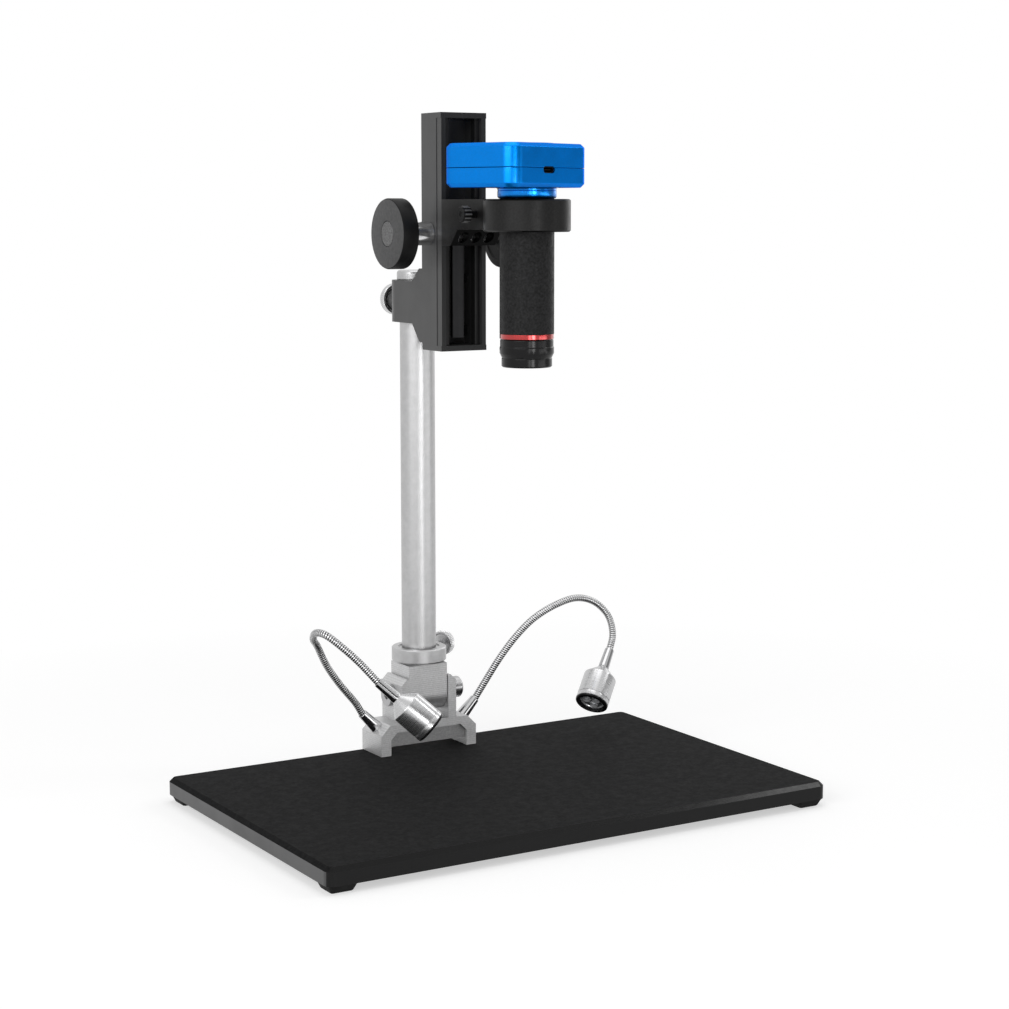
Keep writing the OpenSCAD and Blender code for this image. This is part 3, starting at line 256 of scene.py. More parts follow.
def wrinkle_black(name, tone):
    """Crackle paint: small round pebbles with worn tips."""
    s = Surface(name, specular=0.16)
    pebbles = s.add("ShaderNodeTexVoronoi", feature="SMOOTH_F1")
    pebbles.inputs["Scale"].default_value = 1150
    pebbles.inputs["Smoothness"].default_value = 0.6
    s.link(s.place, pebbles.inputs["Vector"])
    s.tone(s.noise(850, 3), tone, 0.1, 3.2)
    s.rough(s.noise(300, 2), 0.42, 0.60)
    s.bump(pebbles.outputs["Distance"], 0.65, 0.20 * MM)
    return s.bump(s.noise(2400, 2), 0.3, 0.08 * MM).material


def milled_silver(name, tone, pitch, lines):
    """Blasted aluminium with a milling cutter's level lines, one every pitch metres. lines is their share."""
    s = Surface(name, metallic=1.0)
    wave = s.add("ShaderNodeTexWave", wave_type="BANDS", bands_direction="Z")
    for socket, value in (("Scale", 2 * math.pi / (20 * pitch)), ("Distortion", 0.8), ("Detail", 2.0),
                          ("Detail Scale", 0.12)):
        wave.inputs[socket].default_value = value
    s.link(s.place, wave.inputs["Vector"])
    ridges = wave.outputs["Fac"]
    grain = s.noise(1250, 4, 0.6)
    both = s.math("ADD", s.math("MULTIPLY", s.ranged(ridges, 0.3, 0.7, 0.0, 1.0), lines),
                  s.math("MULTIPLY", grain, 1 - lines))
    s.tone(both, tone, 0.80, 1.16)
    s.rough(s.noise(140, 3), 0.46, 0.58)
    return s.bump(ridges, 0.22 * lines / 0.45, 0.10 * MM).bump(grain, 0.5, 0.09 * MM).material


def blasted_silver(name, tone, rough):
    """Blasted and clear-anodised tube, with a soft drawn grain along it."""
    s = Surface(name, metallic=1.0)
    s.tone(s.noise(260, 5, 0.65), tone, 0.93, 1.06)
    s.rough(s.noise(1.0, 3, place=s.stretched((420, 420, 9))), *rough)
    return s.bump(s.noise(2600, 2), 0.16, 0.05 * MM).material


def turned_metal(name, tone, centre, axis, rough, marks=0.12, brushed=0.0, **finish):
    """Metal turned on a lathe about an axis. A brushed one spreads its reflections along the axis."""
    settings = {"metallic": 1.0, "coat_rough": 0.12, "anisotropic": brushed, **finish}
    s = Surface(name, **settings)
    if brushed:
        s.shader.inputs["Anisotropic Rotation"].default_value = 0.25
        around = s.vector("CROSS_PRODUCT", s.seen_from(centre), axis)
        s.link(around.outputs["Vector"], s.shader.inputs["Tangent"])
    rings = s.lathe_noise(centre, axis, 5200)
    s.tone(s.lathe_noise(centre, axis, 900), tone, 0.97, 1.02)
    s.rough(rings, *rough)
    return s.bump(rings, marks, 0.05 * MM).bump(s.noise(700, 3), 0.03, 0.05 * MM).material


def knob_black(name, centre, axis, face_at):
    """Black turned knob with painted light: its flat outer face is coloured pale grey as if lit, and its
    flank stays near black.
    """
    s = Surface(name, specular=0.10)
    along = s.dot(s.seen_from(centre), axis)
    face = s.ranged(along, 0.0, 1.0, face_at - 0.12 * MM, face_at - 0.04 * MM)
    rings = s.lathe_noise(centre, axis, 5200)
    flank = s.mixed(s.ranged(rings), (0.0045, 0.0045, 0.0046, 1), (0.0075, 0.0075, 0.0077, 1))
    grain = s.ranged(s.noise(700, 4))
    # Painted highlight: the pale grey of the flat face stands for the light that falls on it
    cut = s.mixed(grain, (0.080, 0.080, 0.081, 1), (0.110, 0.110, 0.111, 1))
    s.colour(s.mixed(face, flank, cut))
    s.rough(rings, 0.40, 0.52)
    return s.bump(rings, 0.10, 0.05 * MM).bump(s.noise(1500, 3), 0.10, 0.05 * MM).material


def crest_highlight_black(name, centre, axis, crest_r, end):
    """Black metal with a painted highlight: paler on crests that stand more than crest_r off the axis, short
    of its end face.
    """
    s = Surface(name, specular=0.12)
    along, off = s.about(centre, axis)
    crest = s.ranged(off, 0.0, 1.0, crest_r - 0.1 * MM, crest_r + 0.15 * MM)
    flank = s.ranged(s.math("ABSOLUTE", along), 1.0, 0.0, end - 0.2 * MM, end)
    # Painted highlight: the pale crests stand for the light bars on the flutes; the mask is named worn but
    # marks no wear
    worn = s.math("MULTIPLY", crest, flank)
    pale = s.mixed(s.ranged(s.noise(1500, 3)), (0.10, 0.10, 0.10, 1), (0.17, 0.17, 0.17, 1))
    s.colour(s.mixed(worn, (0.006, 0.006, 0.0062, 1), pale))
    s.rough(s.noise(600, 2), 0.35, 0.5)
    return s.bump(s.noise(1800, 2), 0.08, 0.04 * MM).material


def anodised_blue(name, tone):
    """Dyed satin anodising over fine blasting, sealed clear."""
    s = Surface(name, metallic=1.0, coat=0.06, coat_rough=0.10)
    s.shader.inputs["Coat IOR"].default_value = 1.72
    s.shader.inputs["Specular Tint"].default_value = (0.02, 0.45, 1.0, 1.0)
    s.tone(s.noise(900, 4), tone, 0.95, 1.05)
    s.rough(s.noise(120, 3), 0.30, 0.38)
    return s.bump(s.noise(3000, 2), 0.06, 0.04 * MM).material


def moulded_rubber(name, tone):
    """Dull rubber with the fine grain of its mould."""
    s = Surface(name, specular=0.12)
    s.tone(s.noise(60, 3), tone, 0.85, 1.15)
    s.rough(s.noise(200, 3), 0.6, 0.8)
    return s.bump(s.noise(1800, 2), 0.15, 0.08 * MM).material


def clear_glass(name, tone):
    """Clear lens glass, with a trace of dust in its polish."""
    s = Surface(name)
    s.shader.inputs["Transmission Weight"].default_value = 1.0
    s.shader.inputs["IOR"].default_value = 1.5
    s.tone(s.noise(90, 2), tone, 0.97, 1.0)
    return s.rough(s.noise(500, 4), 0.02, 0.06).material


def circuit_green(name, tone):
    """Solder mask over copper tracks."""
    s = Surface(name, coat=0.4, coat_rough=0.15)
    tracks = s.add("ShaderNodeTexBrick")
    s.link(s.stretched((420, 420, 420)), tracks.inputs["Vector"])
    s.colour(s.mixed(s.ranged(tracks.outputs["Fac"], 0, 1, 0, 1), scaled(tone, 0.8), scaled(tone, 1.5)))
    return s.rough(s.noise(300, 2), 0.3, 0.45).material


def chromed_hose(name, tone):
    """Bright plated steel strip."""
    s = Surface(name, metallic=1.0)
    s.tone(s.noise(300, 3), tone, 0.9, 1.05)
    s.rough(s.noise(500, 3), 0.08, 0.15)
    return s.bump(s.noise(2500, 2), 0.05, 0.03 * MM).material


def lamp_reflector(name, tone):
    """The dark cup behind the petals."""
    s = Surface(name, coat=0.8, coat_rough=0.06)
    s.tone(s.noise(400, 3), tone, 0.7, 1.3)
    return s.rough(s.noise(800, 2), 0.2, 0.35).material


def lamp_petal(name, tone, brightest, rough, metallic=0.0):
    """Glossy moulding of a lamp's front, lively enough to sparkle."""
    s = Surface(name, coat=1.0, coat_rough=0.03, metallic=metallic)
    s.tone(s.noise(900, 3), tone, 0.7, brightest)
    return s.rough(s.noise(700, 2), *rough).material


SILVER = (0.47, 0.47, 0.473)
BRIGHT = (0.58, 0.58, 0.585)
BLUE = (0.001, 0.195, 0.66)
UP = (0, 0, 1)
RAIL_LIP_Y = 33.2 * MM

MATERIALS = {
    "plate": powder_black("plate_powder", (0.0095, 0.0095, 0.0098), 1300, 0.30, (0.72, 0.84), 0.06),
    "plate_side": extruded_black("plate_side", (0.0085, 0.0085, 0.0087), 0.15),
    # Painted light: the ends' tone is about four times the sides', as if lit from the side
    "plate_lit_end": extruded_black("plate_lit_end", (0.033, 0.033, 0.034), 0.6),
    "plate_bevel": powder_black("plate_bevel", (0.0035, 0.0035, 0.0036), 2200, 0.05, (0.14, 0.20), 0.17),
    "rubber": moulded_rubber("foot_rubber", (0.009, 0.009, 0.009)),
    "bracket": milled_silver("bracket_milled", (0.56, 0.56, 0.563), 1.15 * MM, 0.32),
    # Painted shade: the cover's tone is darker than the bracket's, for the shade of the recess it sits in
    "cover": milled_silver("cover_milled_shaded", (0.34, 0.34, 0.342), 1.4 * MM, 0.1),
    "block": milled_silver("block_milled", (0.58, 0.58, 0.583), 1.15 * MM, 0.42),
    "pillar": blasted_silver("pillar_blasted", SILVER, (0.34, 0.42)),
    "steel": blasted_silver("steel_plain", (0.42, 0.42, 0.425), (0.24, 0.34)),
    "dark_steel": blasted_silver("steel_dark", (0.030, 0.030, 0.031), (0.40, 0.52)),
    "rail": extruded_black("rail_anodised", (0.026, 0.026, 0.0265), 0.6, RAIL_LIP_Y),
    "rail_inside": extruded_black("slider_anodised", (0.007, 0.007, 0.0072), 0.22),
    "arm": arm_black("arm_powder", (0.0092, 0.0090, 0.0089), 0.18),
    "disc": powder_black("disc_powder", (0.145, 0.145, 0.146), 2200, 0.20, (0.42, 0.54), 0.2),
    "barrel": wrinkle_black("barrel_wrinkle", (0.0055, 0.0055, 0.0057)),
    "nose": turned_metal("nose_anodised", (0.005, 0.005, 0.0053), LENS, UP, (0.15, 0.22), 0.08,
                         metallic=0.0, specular=0.2),
    "sleeve": turned_metal("sleeve_turned", (0.72, 0.72, 0.725), SHAFT, (1, 0, 0), (0.14, 0.22), 0.06,
                           brushed=0.5),
    "red": turned_metal("accent_anodised", srgb(172, 42, 42), LENS, UP, (0.16, 0.24), 0.1, coat=1.0),
    "blue": anodised_blue("camera_anodised", BLUE),
    "mount_blue": turned_metal("mount_anodised", BLUE, LENS, UP, (0.18, 0.28), 0.1, coat=0.25),
    "glass": clear_glass("lens_glass", (0.86, 0.92, 0.98)),
    "board": circuit_green("board_mask", srgb(20, 92, 52)),
    "sensor": powder_black("sensor_face", (0.01, 0.012, 0.02), 500, 0.02, (0.08, 0.16)),
    "hose": chromed_hose("neck_chrome", (0.56, 0.56, 0.565)),
    # Painted shade: a near-black material for the hose's faces that lie deep in its gaps
    "hose_gap_shade": powder_black("neck_gap_painted_shade", (0.012, 0.012, 0.012), 2500, 0.1, (0.4, 0.5), 0.3),
    "reflector": lamp_reflector("lamp_reflector", (0.075, 0.077, 0.080)),
    "petal": lamp_petal("petal_bright", (0.80, 0.81, 0.83), 1.1, (0.10, 0.22), metallic=0.6),
    "dome": lamp_petal("petal_dome", (0.42, 0.43, 0.45), 1.3, (0.06, 0.16)),
}


# Mesh helpers

def finish_mesh(mesh, sharp):
    """Smooth shading that stops at edges sharper than so many degrees."""
    mesh.shade_smooth()
    mesh.set_sharp_from_angle(angle=math.radians(sharp))


def placed(name, data):
    """A new object of the scene."""
    thing = bpy.data.objects.new(name, data)
    bpy.context.scene.collection.objects.link(thing)
    return thing


def add_piece(name, mesh, material, body, slot, *nodes):
    """A piece in its place: it rides on a body and may stand for CAD nodes."""
    piece = placed(name, mesh)
    mesh.materials.clear()
    mesh.materials.append(MATERIALS[material] if isinstance(material, str) else material)
    if body:
        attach(piece, body)
    if nodes:
        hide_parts(*nodes)
    return piece


def to_mesh(name, bm):
    """A mesh with its faces turned outwards. The bmesh goes."""
    mesh = bpy.data.meshes.new(name)
    bmesh.ops.recalc_face_normals(bm, faces=bm.faces)
    bm.to_mesh(mesh)
    bm.free()
    return mesh


def applied(holder):
    """A passing object's mesh with its modifiers applied. The object goes."""
    result = bpy.data.meshes.new_from_object(holder.evaluated_get(bpy.context.evaluated_depsgraph_get()))
    bpy.data.objects.remove(holder)
    return result


def weigh_normals(holder):
    """Shade large flat faces flat, up to their rounded edges."""
    normals = holder.modifiers.new("flats", "WEIGHTED_NORMAL")
    normals.mode, normals.weight, normals.keep_sharp = "FACE_AREA", 50, True


def with_bevel(mesh, width):
    """The mesh with its sharp edges rounded."""
    holder = placed("holder", mesh)
    bevel = holder.modifiers.new("edges", "BEVEL")
    bevel.width, bevel.segments = width, 2
    bevel.limit_method, bevel.angle_limit = "ANGLE", math.radians(28)
    bevel.use_clamp_overlap = True
    weigh_normals(holder)
    return applied(holder)


def softened(node, material, width, slot):
    """A CAD node's own form with its edges broken, as a machinist leaves them."""
    bm = bmesh.new()
    bm.from_mesh(frame["nodes"][node].data)
    bmesh.ops.remove_doubles(bm, verts=bm.verts, dist=0.002 * MM)
    bmesh.ops.dissolve_limit(bm, angle_limit=math.radians(0.4), verts=bm.verts, edges=bm.edges)
    mesh = to_mesh(node + "_form", bm)
    mesh.shade_smooth()
    return add_piece(node + "_dressed", with_bevel(mesh, width), material, BODY_OF[node], slot, node)


def frame_along(axis, origin):
    """Matrix whose Z runs along axis from origin."""
    z = Vector(axis).normalized()
    x = Vector(UP).cross(z)
    x = x.normalized() if x.length > 1e-4 else Vector((1, 0, 0))
    turn = Matrix((x, z.cross(x), z)).transposed().to_4x4()
    return Matrix.Translation(Vector(origin)) @ turn


def rounded(outline, radius, steps=3):
    """An open outline with its inner corners rounded."""
    pts = [Vector(p[:2]) for p in outline]
    result = [pts[0]]
    for before, here, after in zip(pts, pts[1:], pts[2:]):
        a, b = before - here, after - here
        reach = min(radius, a.length * 0.45, b.length * 0.45)
        start, end = here + a.normalized() * reach, here + b.normalized() * reach
        for k in range(steps + 1):
            t = k / steps
            result.append(start * (1 - t) ** 2 + here * 2 * t * (1 - t) + end * t ** 2)
    return result + [pts[-1]]


def lathe(name, outline, place, segments, radial=None):
    """A turned mesh through (radius, height) points. radial(angle, radius, height) may change a radius."""
    bm = bmesh.new()
    rings = []
    for radius, height in outline:
        if radius == 0:
            rings.append([bm.verts.new((0, 0, height))])
            continue
        ring = []
        for k in range(segments):
            turn = 2 * math.pi * k / segments
            r = radial(turn, radius, height) if radial else radius
            ring.append(bm.verts.new((r * math.cos(turn), r * math.sin(turn), height)))
        rings.append(ring)
    for low, high in zip(rings, rings[1:]):
        for k in range(segments):
            n = (k + 1) % segments
            corners = [low[k % len(low)], low[n % len(low)], high[n % len(high)], high[k % len(high)]]
            corners = list(dict.fromkeys(corners))
            if len(corners) > 2:
                bm.faces.new(corners)
    mesh = to_mesh(name, bm)
    mesh.transform(place)
    return mesh


def turned_piece(name, outline, place, segments, sharp, material, body, slot, *nodes, radial=None):
    """A lathe's mesh as a piece, with edges sharper than so many degrees kept hard."""
    mesh = lathe(name, outline, place, segments, radial)
    finish_mesh(mesh, sharp)
    return add_piece(name, mesh, material, body, slot, *nodes)


def loft(bm, rings):
    """A closed form through rings of equally many points."""
    for low, high in zip(rings, rings[1:]):
        for k in range(len(low)):
            n = (k + 1) % len(low)
            bm.faces.new((low[k], low[n], high[n], high[k]))
    bm.faces.new(rings[0][::-1])
    bm.faces.new(rings[-1])


def joined(name, meshes):
    """One mesh of several, which go."""
    bm = bmesh.new()
    for mesh in meshes:
        bm.from_mesh(mesh)
        bpy.data.meshes.remove(mesh)
    result = bpy.data.meshes.new(name)
    bm.to_mesh(result)
    bm.free()
    return result


def in_mm(outline, lift=0.0):
    """Points given in mm, as metres, raised by lift."""
    return [(r * MM, lift + h * MM) for r, h in outline]


# Gooseneck lamps

NECK_CREST_R = 2.15 * MM
NECK_VALLEY_R = 1.62 * MM
NECK_PITCH = 1.3 * MM
NECK_STEP = NECK_PITCH / 8
NECK_SIDES = 28
NECK_FULLNESS = 0.32
NECK_GAP_SHARE = 0.80
# The curve is aimed by a point this far behind each of its ends, and the hose's ends are hidden this deep
NECK_AIM = 4.3 * MM
NECK_HIDDEN = 4.0 * MM
CURVE_STEPS = 40
SOCKET_X = 37.863 * MM
SOCKET_Z = 38.263 * MM
SOCKET_LEAN = math.radians(45)
# Points of each neck's middle line, in mm from the pillar's foot
ROUTES = {
    -1: [(-42.5, 0, 31.5), (-52, 0, 43), (-60.5, -0.5, 55), (-67.5, -3, 67.5), (-74, -11, 73.7),
         (-78, -22.5, 79.6), (-77, -32.5, 80.1), (-70.5, -38.5, 74), (-62, -43.5, 65)],
    1: [(44.5, 0, 33), (55, -0.5, 47), (66, -1, 59), (78, -2, 69), (92, -3.5, 76),
        (106, -5.5, 79.5), (117.5, -8.5, 76.5), (125, -12.5, 68), (125.5, -17, 57.5)],
}
LAMP_AT = {-1: Vector((-53.5, 37.2, 68.0)) * MM, 1: Vector((120.5, 65.7, 62.5)) * MM}
BEAM_TURN = {-1: math.radians(32), 1: math.radians(33.5)}
BEAM_DOWN = {-1: math.radians(41), 1: math.radians(44.5)}

FERRULE_H = 14 * MM
LAMP_FRONT = 38.1 * MM
LAMP_R = 9.9 * MM
LAMP_NECK_R = 3.3 * MM
LAMP_HOLE_R = 1.0 * MM
CONE_END = 20.5 * MM
CAVITY_R = 8.5 * MM
CAVITY_AT = 21.9 * MM
GROOVE_AT = 35.0 * MM
GROOVE_W = 0.4 * MM
GROOVE_DEPTH = 0.25 * MM
LENS_R = 7.7 * MM
LENS_T = 5 * MM
LENS_SET_BACK = 0.9 * MM
PETALS = 3
PETAL_OFFSET = 3.6 * MM
PETAL_TURN = math.radians(30)


def beam_of(side):
    """Direction in which a lamp shines."""
    turn, down = BEAM_TURN[side], BEAM_DOWN[side]
    level = math.cos(down)
    return Vector((-side * level * math.cos(turn), -level * math.sin(turn), -math.sin(down)))


def socket_exit(side):
    """Point where a neck comes out of its socket."""
    return Vector((side * SOCKET_X, PILLAR_Y, SOCKET_Z))


def socket_axis(side):
    return Vector((side * math.sin(SOCKET_LEAN), 0, math.cos(SOCKET_LEAN)))


def smooth(a, b, c, d, f):
    """Point a share f of the way from b to c, on a smooth curve through four points."""
    return 0.5 * (2 * b + (c - a) * f + (2 * a - 5 * b + 4 * c - d) * f * f
                  + (3 * b - a - 3 * c + d) * f ** 3)


def neck_line(side):
    """Evenly spaced points of a neck's middle line, and how far along it each one lies."""
    start, end, out, beam = socket_exit(side), LAMP_AT[side], socket_axis(side), beam_of(side)
    route = [STAND_FOOT + Vector(p) * MM for p in ROUTES[side]]
    through = [start - NECK_AIM * out, start, *route, end, end + NECK_AIM * beam]
    line = [start - NECK_HIDDEN * out, start]
    for four in zip(through, through[1:], through[2:], through[3:]):
        line += [smooth(*four, k / CURVE_STEPS) for k in range(1, CURVE_STEPS + 1)]
    line = np.array(line + [end + NECK_HIDDEN * beam])
    length = np.concatenate([[0], np.cumsum(np.linalg.norm(np.diff(line, axis=0), axis=1))])
    at = np.arange(0, length[-1], NECK_STEP)
    return np.stack([np.interp(at, length, line[:, k]) for k in range(3)], 1), at


def neck_mesh(name, side):
    """A close-wound metal hose: one rounded rib that climbs as a helix. Also which faces lie in its gap."""
    points, at = neck_line(side)
    tangents = np.gradient(points, axis=0)
    tangents /= np.linalg.norm(tangents, axis=1)[:, None]
    across = np.cross(tangents[0], (0.0, 1.0, 0.0))
    angles = np.linspace(0, 2 * np.pi, NECK_SIDES, endpoint=False)
    verts, shares = [], []
    for point, tangent, s in zip(points, tangents, at):
        across = across - tangent * np.dot(across, tangent)
        across /= np.linalg.norm(across)
        aside = np.cross(tangent, across)
        phase = s / NECK_PITCH - angles / (2 * np.pi)
        share = np.abs(np.sin(np.pi * phase)) ** NECK_FULLNESS
        r = NECK_VALLEY_R + (NECK_CREST_R - NECK_VALLEY_R) * share
        verts.extend(point + np.outer(r * np.cos(angles), across) + np.outer(r * np.sin(angles), aside))
        shares.extend(share)
    n = NECK_SIDES
    faces, in_gap = [], []
    for ring in range(0, (len(points) - 1) * n, n):
        for i in range(n):
            k = (i + 1) % n
            corners = (ring + i, ring + k, ring + n + k, ring + n + i)
            faces.append(corners)
            in_gap.append(sum(shares[c] for c in corners) / 4 < NECK_GAP_SHARE)
    faces += [tuple(range(n))[::-1], tuple(range(len(verts) - n, len(verts)))]
    in_gap += [False, False]
    mesh = bpy.data.meshes.new(name)
    mesh.from_pydata([tuple(v) for v in verts], [], faces)
    finish_mesh(mesh, 80)
    return mesh, in_gap


def build_neck(side):
    """The hose, bending from the base, where its socket is, to its lamp."""
    label = SIDE_NAME[side]
    mesh, in_gap = neck_mesh(label + "_neck_hose", side)
    hose = add_piece(label + "_neck_hose", mesh, "hose", None, "chrome", label + "_gooseneck")
    # The faces in the gap take the near-black material: painted shade in the hose's creases
    mesh.materials.append(MATERIALS["hose_gap_shade"])
    mesh.polygons.foreach_set("material_index", [int(gap) for gap in in_gap])
    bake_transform(hose)


def build_lamp_metal(side, place):
    """Turned head with its groove and cavity, then the ferrule and the rim."""
    label, at, beam = SIDE_NAME[side], LAMP_AT[side], beam_of(side)
    metal = turned_metal(label + "_head_turned", (0.54, 0.54, 0.545), at, beam, (0.22, 0.30), 0.05,
                         brushed=0.8, metallic=0.92)
    ferrule = turned_metal(label + "_ferrule_turned", (0.42, 0.42, 0.425), at, beam, (0.08, 0.15), 0.08)
    r, groove_r = LAMP_R, LAMP_R - GROOVE_DEPTH
    wall = rounded([(LAMP_NECK_R, FERRULE_H), (r, CONE_END), (r, GROOVE_AT), (groove_r, GROOVE_AT),
                    (groove_r, GROOVE_AT + GROOVE_W), (r, GROOVE_AT + GROOVE_W), (r, LAMP_FRONT),
                    (CAVITY_R, LAMP_FRONT), (CAVITY_R, CAVITY_AT), (LAMP_HOLE_R, CAVITY_AT)], 0.3 * MM)
    hole_edge = (LAMP_HOLE_R, FERRULE_H)
    turned_piece(label + "_head_turned", [hole_edge, *wall, hole_edge], place, 128, 30, metal,
                 label + "_lamp", "chrome", label + "_lamp_head")
    softened(label + "_lamp_ferrule", ferrule, 0.25 * MM, "chrome")
    softened(label + "_lamp_rim", "nose", 0.25 * MM, "plastic_black")


def build_lamp_optics(side, place):
    """Front plate, its lip, and three petals: each a dome in a bright cup."""
    label = SIDE_NAME[side]
    body = label + "_lamp"
    base, face = LAMP_FRONT - LENS_T, LAMP_FRONT - LENS_SET_BACK
    wall = LENS_R - 0.05 * MM
    plate = [(0, base), (LENS_R - 1.6 * MM, base), (wall, base + 2 * MM), (wall, face),
             (LENS_R - 0.6 * MM, face + 0.35 * MM), (LENS_R - 1.0 * MM, face), (0, face)]
    lip = [(LENS_R - 1.25 * MM, face), (LENS_R - 1.0 * MM, face + 0.4 * MM),
           (LENS_R - 0.25 * MM, face + 0.4 * MM), (wall, face + 0.1 * MM)]
    cup = in_mm([(1.15, 0.03), (1.35, 0.08), (2.2, 0.75), (2.5, 0.8), (2.62, 0.0)], face)
    dome = in_mm([(0, 0.62), (0.45, 0.56), (0.85, 0.34), (1.15, 0.03)], face)
    cups, domes = [lathe("lip", lip, place, 72)], []
    for k in range(PETALS):
        turn = PETAL_TURN + 2 * math.pi * k / PETALS
        middle = place @ Matrix.Translation(Vector((math.cos(turn), math.sin(turn), 0)) * PETAL_OFFSET)
        cups.append(lathe("cup", cup, middle, 48))
        domes.append(lathe("dome", dome, middle, 48))
    turned_piece(label + "_optic_plate", plate, place, 72, 35, "reflector", body, "lamp_lens",
                 label + "_lamp_lens")
    for name, meshes, material in (("_optic_cups", cups, "petal"), ("_optic_domes", domes, "dome")):
        mesh = joined(label + name, meshes)
        finish_mesh(mesh, 35)
        add_piece(label + name, mesh, material, body, "lamp_lens")


def build_lamp(side):
    label = SIDE_NAME[side]
    place = frame_along(beam_of(side), LAMP_AT[side])
    build_neck(side)
    build_lamp_metal(side, place)
    build_lamp_optics(side, place)
    metal = turned_metal(label + "_socket_turned", BRIGHT, socket_exit(side), socket_axis(side), (0.10, 0.2))
    softened(label + "_neck_socket", metal, 0.25 * MM, "chrome")


# Thumbscrews and knobs

KNURL_DEPTH = 0.42 * MM
KNURL_POINTS = 8
SCREW_FROM = 10.3 * MM
KNOB_R = 19.25 * MM
KNOB_T = 9.5 * MM
KNOB_FROM = 31.2 * MM
KNOB_BORE_R = 3.0 * MM
DISC_R = 6.8 * MM
DISC_DEPTH = 2.0 * MM


def teeth(count, depth, low, high):
    """Straight knurls between two heights."""
    def radial(turn, radius, height):
        if not low <= height <= high:
            return radius
        return radius - depth * (0.5 - 0.5 * math.cos(count * turn)) ** 0.7
    return radial


def build_thumbscrew(name, node, centre, axis, stem_r, knob_r, inner, thick, dish, knurls):
    """Stem and knurled knob, dished on both faces. inner is how far the knob starts from centre."""
    edge, top = 0.5 * MM, inner + thick
    floor = top - 0.4 * MM
    outline = [(0, SCREW_FROM), (stem_r - 0.3 * MM, SCREW_FROM), (stem_r, SCREW_FROM + 0.3 * MM),
               (stem_r, inner + dish), (knob_r - 1.7 * MM, inner + dish), (knob_r - 1.4 * MM, inner),
               (knob_r - edge, inner), (knob_r, inner + edge), (knob_r, top - edge), (knob_r - edge, top),
               (knob_r - 1.5 * MM, top), (knob_r - 1.8 * MM, floor), (0, floor)]
    metal = turned_metal(name + "_turned", BRIGHT, centre, axis, (0.16, 0.28))
    turned_piece(name, outline, frame_along(axis, centre), KNURL_POINTS * knurls, 32, metal, BODY_OF[node],
                 "chrome", node, radial=teeth(knurls, KNURL_DEPTH, inner + 0.45 * MM, floor))


def build_pinch_screw():
    """Black head with deep flutes, and a slot across its end."""
    r, start, end = 4.45 * MM, 18.35 * MM, 23.55 * MM
    stem_r, stem_end, slot_floor = 2.0 * MM, -3.0 * MM, end - 0.5 * MM
    outline = [(0, stem_end), (stem_r, stem_end), (stem_r, start), (r - 0.8 * MM, start),
               (r, start + 0.8 * MM), (r, end - 0.7 * MM), (r - 0.7 * MM, end), (1.6 * MM, end),
               (1.4 * MM, slot_floor), (0, slot_floor)]
    metal = crest_highlight_black("pinch_anodised", PINCH_SCREW, (1, 0, 0), 4.1 * MM, slot_floor)
    turned_piece("pinch_knob", outline, frame_along((-1, 0, 0), PINCH_SCREW), 192, 32, metal,
                 BODY_OF["pinch_screw"], "plastic_black", "pinch_screw",
                 radial=teeth(12, 0.7 * MM, start + 0.5 * MM, end - 0.4 * MM))


def build_thumbscrews():
    collar_axis = (math.sin(COLLAR_SCREW_TURN), math.cos(COLLAR_SCREW_TURN), 0)
    build_thumbscrew("collar_knob", "collar_thumbscrew", COLLAR_SCREW, collar_axis, 2.0 * MM, 7.3 * MM,
                     25 * MM, 5 * MM, 0.9 * MM, 44)
    build_thumbscrew("clamp_knob", "clamp_thumbscrew", CLAMP_SCREW, (0, 1, 0), 3.0 * MM, 9.15 * MM,
                     24 * MM, 4.6 * MM, 0.5 * MM, 56)
    build_pinch_screw()


def build_focus_knob(side):
    """Turned knob: flat face with a thin chamfered edge, recess for the disc, relief on the inner face. The
    face and the top of its edge get the painted highlight.
    """
    label = SIDE_NAME[side]
    axis = Vector((side, 0, 0))
    r, thick, relief = KNOB_R, KNOB_T, 0.5 * MM
    outline = [(KNOB_BORE_R, 0), (9.0 * MM, 0), (9.4 * MM, relief), (15.4 * MM, relief), (15.8 * MM, 0),
               (r - 0.6 * MM, 0), (r - 0.15 * MM, 0.2 * MM), (r, 0.7 * MM), (r, thick - 0.8 * MM),
               (r - 0.25 * MM, thick - 0.25 * MM), (r - 0.8 * MM, thick), (DISC_R + 0.35 * MM, thick),
               (DISC_R, thick - 0.35 * MM), (DISC_R, thick - DISC_DEPTH), (KNOB_BORE_R, thick - DISC_DEPTH),
               (KNOB_BORE_R, 0)]
    metal = knob_black(label + "_knob_anodised", SHAFT, axis, KNOB_FROM + thick)
    turned_piece(label + "_knob_turned", outline, frame_along(axis, SHAFT + axis * KNOB_FROM), 160, 28, metal,
                 BODY_OF["left_focus_knob"], "plastic_black", label + "_focus_knob")


# Camera housing and its mount

CAMERA_W = 62.4 * MM
CAMERA_D = 49.0 * MM
CAMERA_LEFT = 40.3 * MM
CAMERA_LOW = 338.8 * MM
CAMERA_SEAM = 348.8 * MM
CAMERA_TOP = 361.3 * MM
CORNER_R = 7.5 * MM
CORNER_STEPS = 20
SHELL_WALL = 2.0 * MM
PORT_X = -11.9 * MM
PORT_Z = 347.7 * MM
PORT_W = 9.2 * MM
PORT_H = 3.5 * MM
PORT_STEPS = 24
BOSS_R = 13.7 * MM
SET_SCREW_Z = 335.5 * MM
SET_SCREW_WAY = Vector((-0.985, -0.17, 0)).normalized()
RING_SCREW = LENS + Vector((16.7, -10.0, 332.55)) * MM
MOUNT_R = 15.5 * MM
MOUNT_LOW = 333.3 * MM
MOUNT_TOP = 337.3 * MM
MOUNT_BORE_R = 12.7 * MM
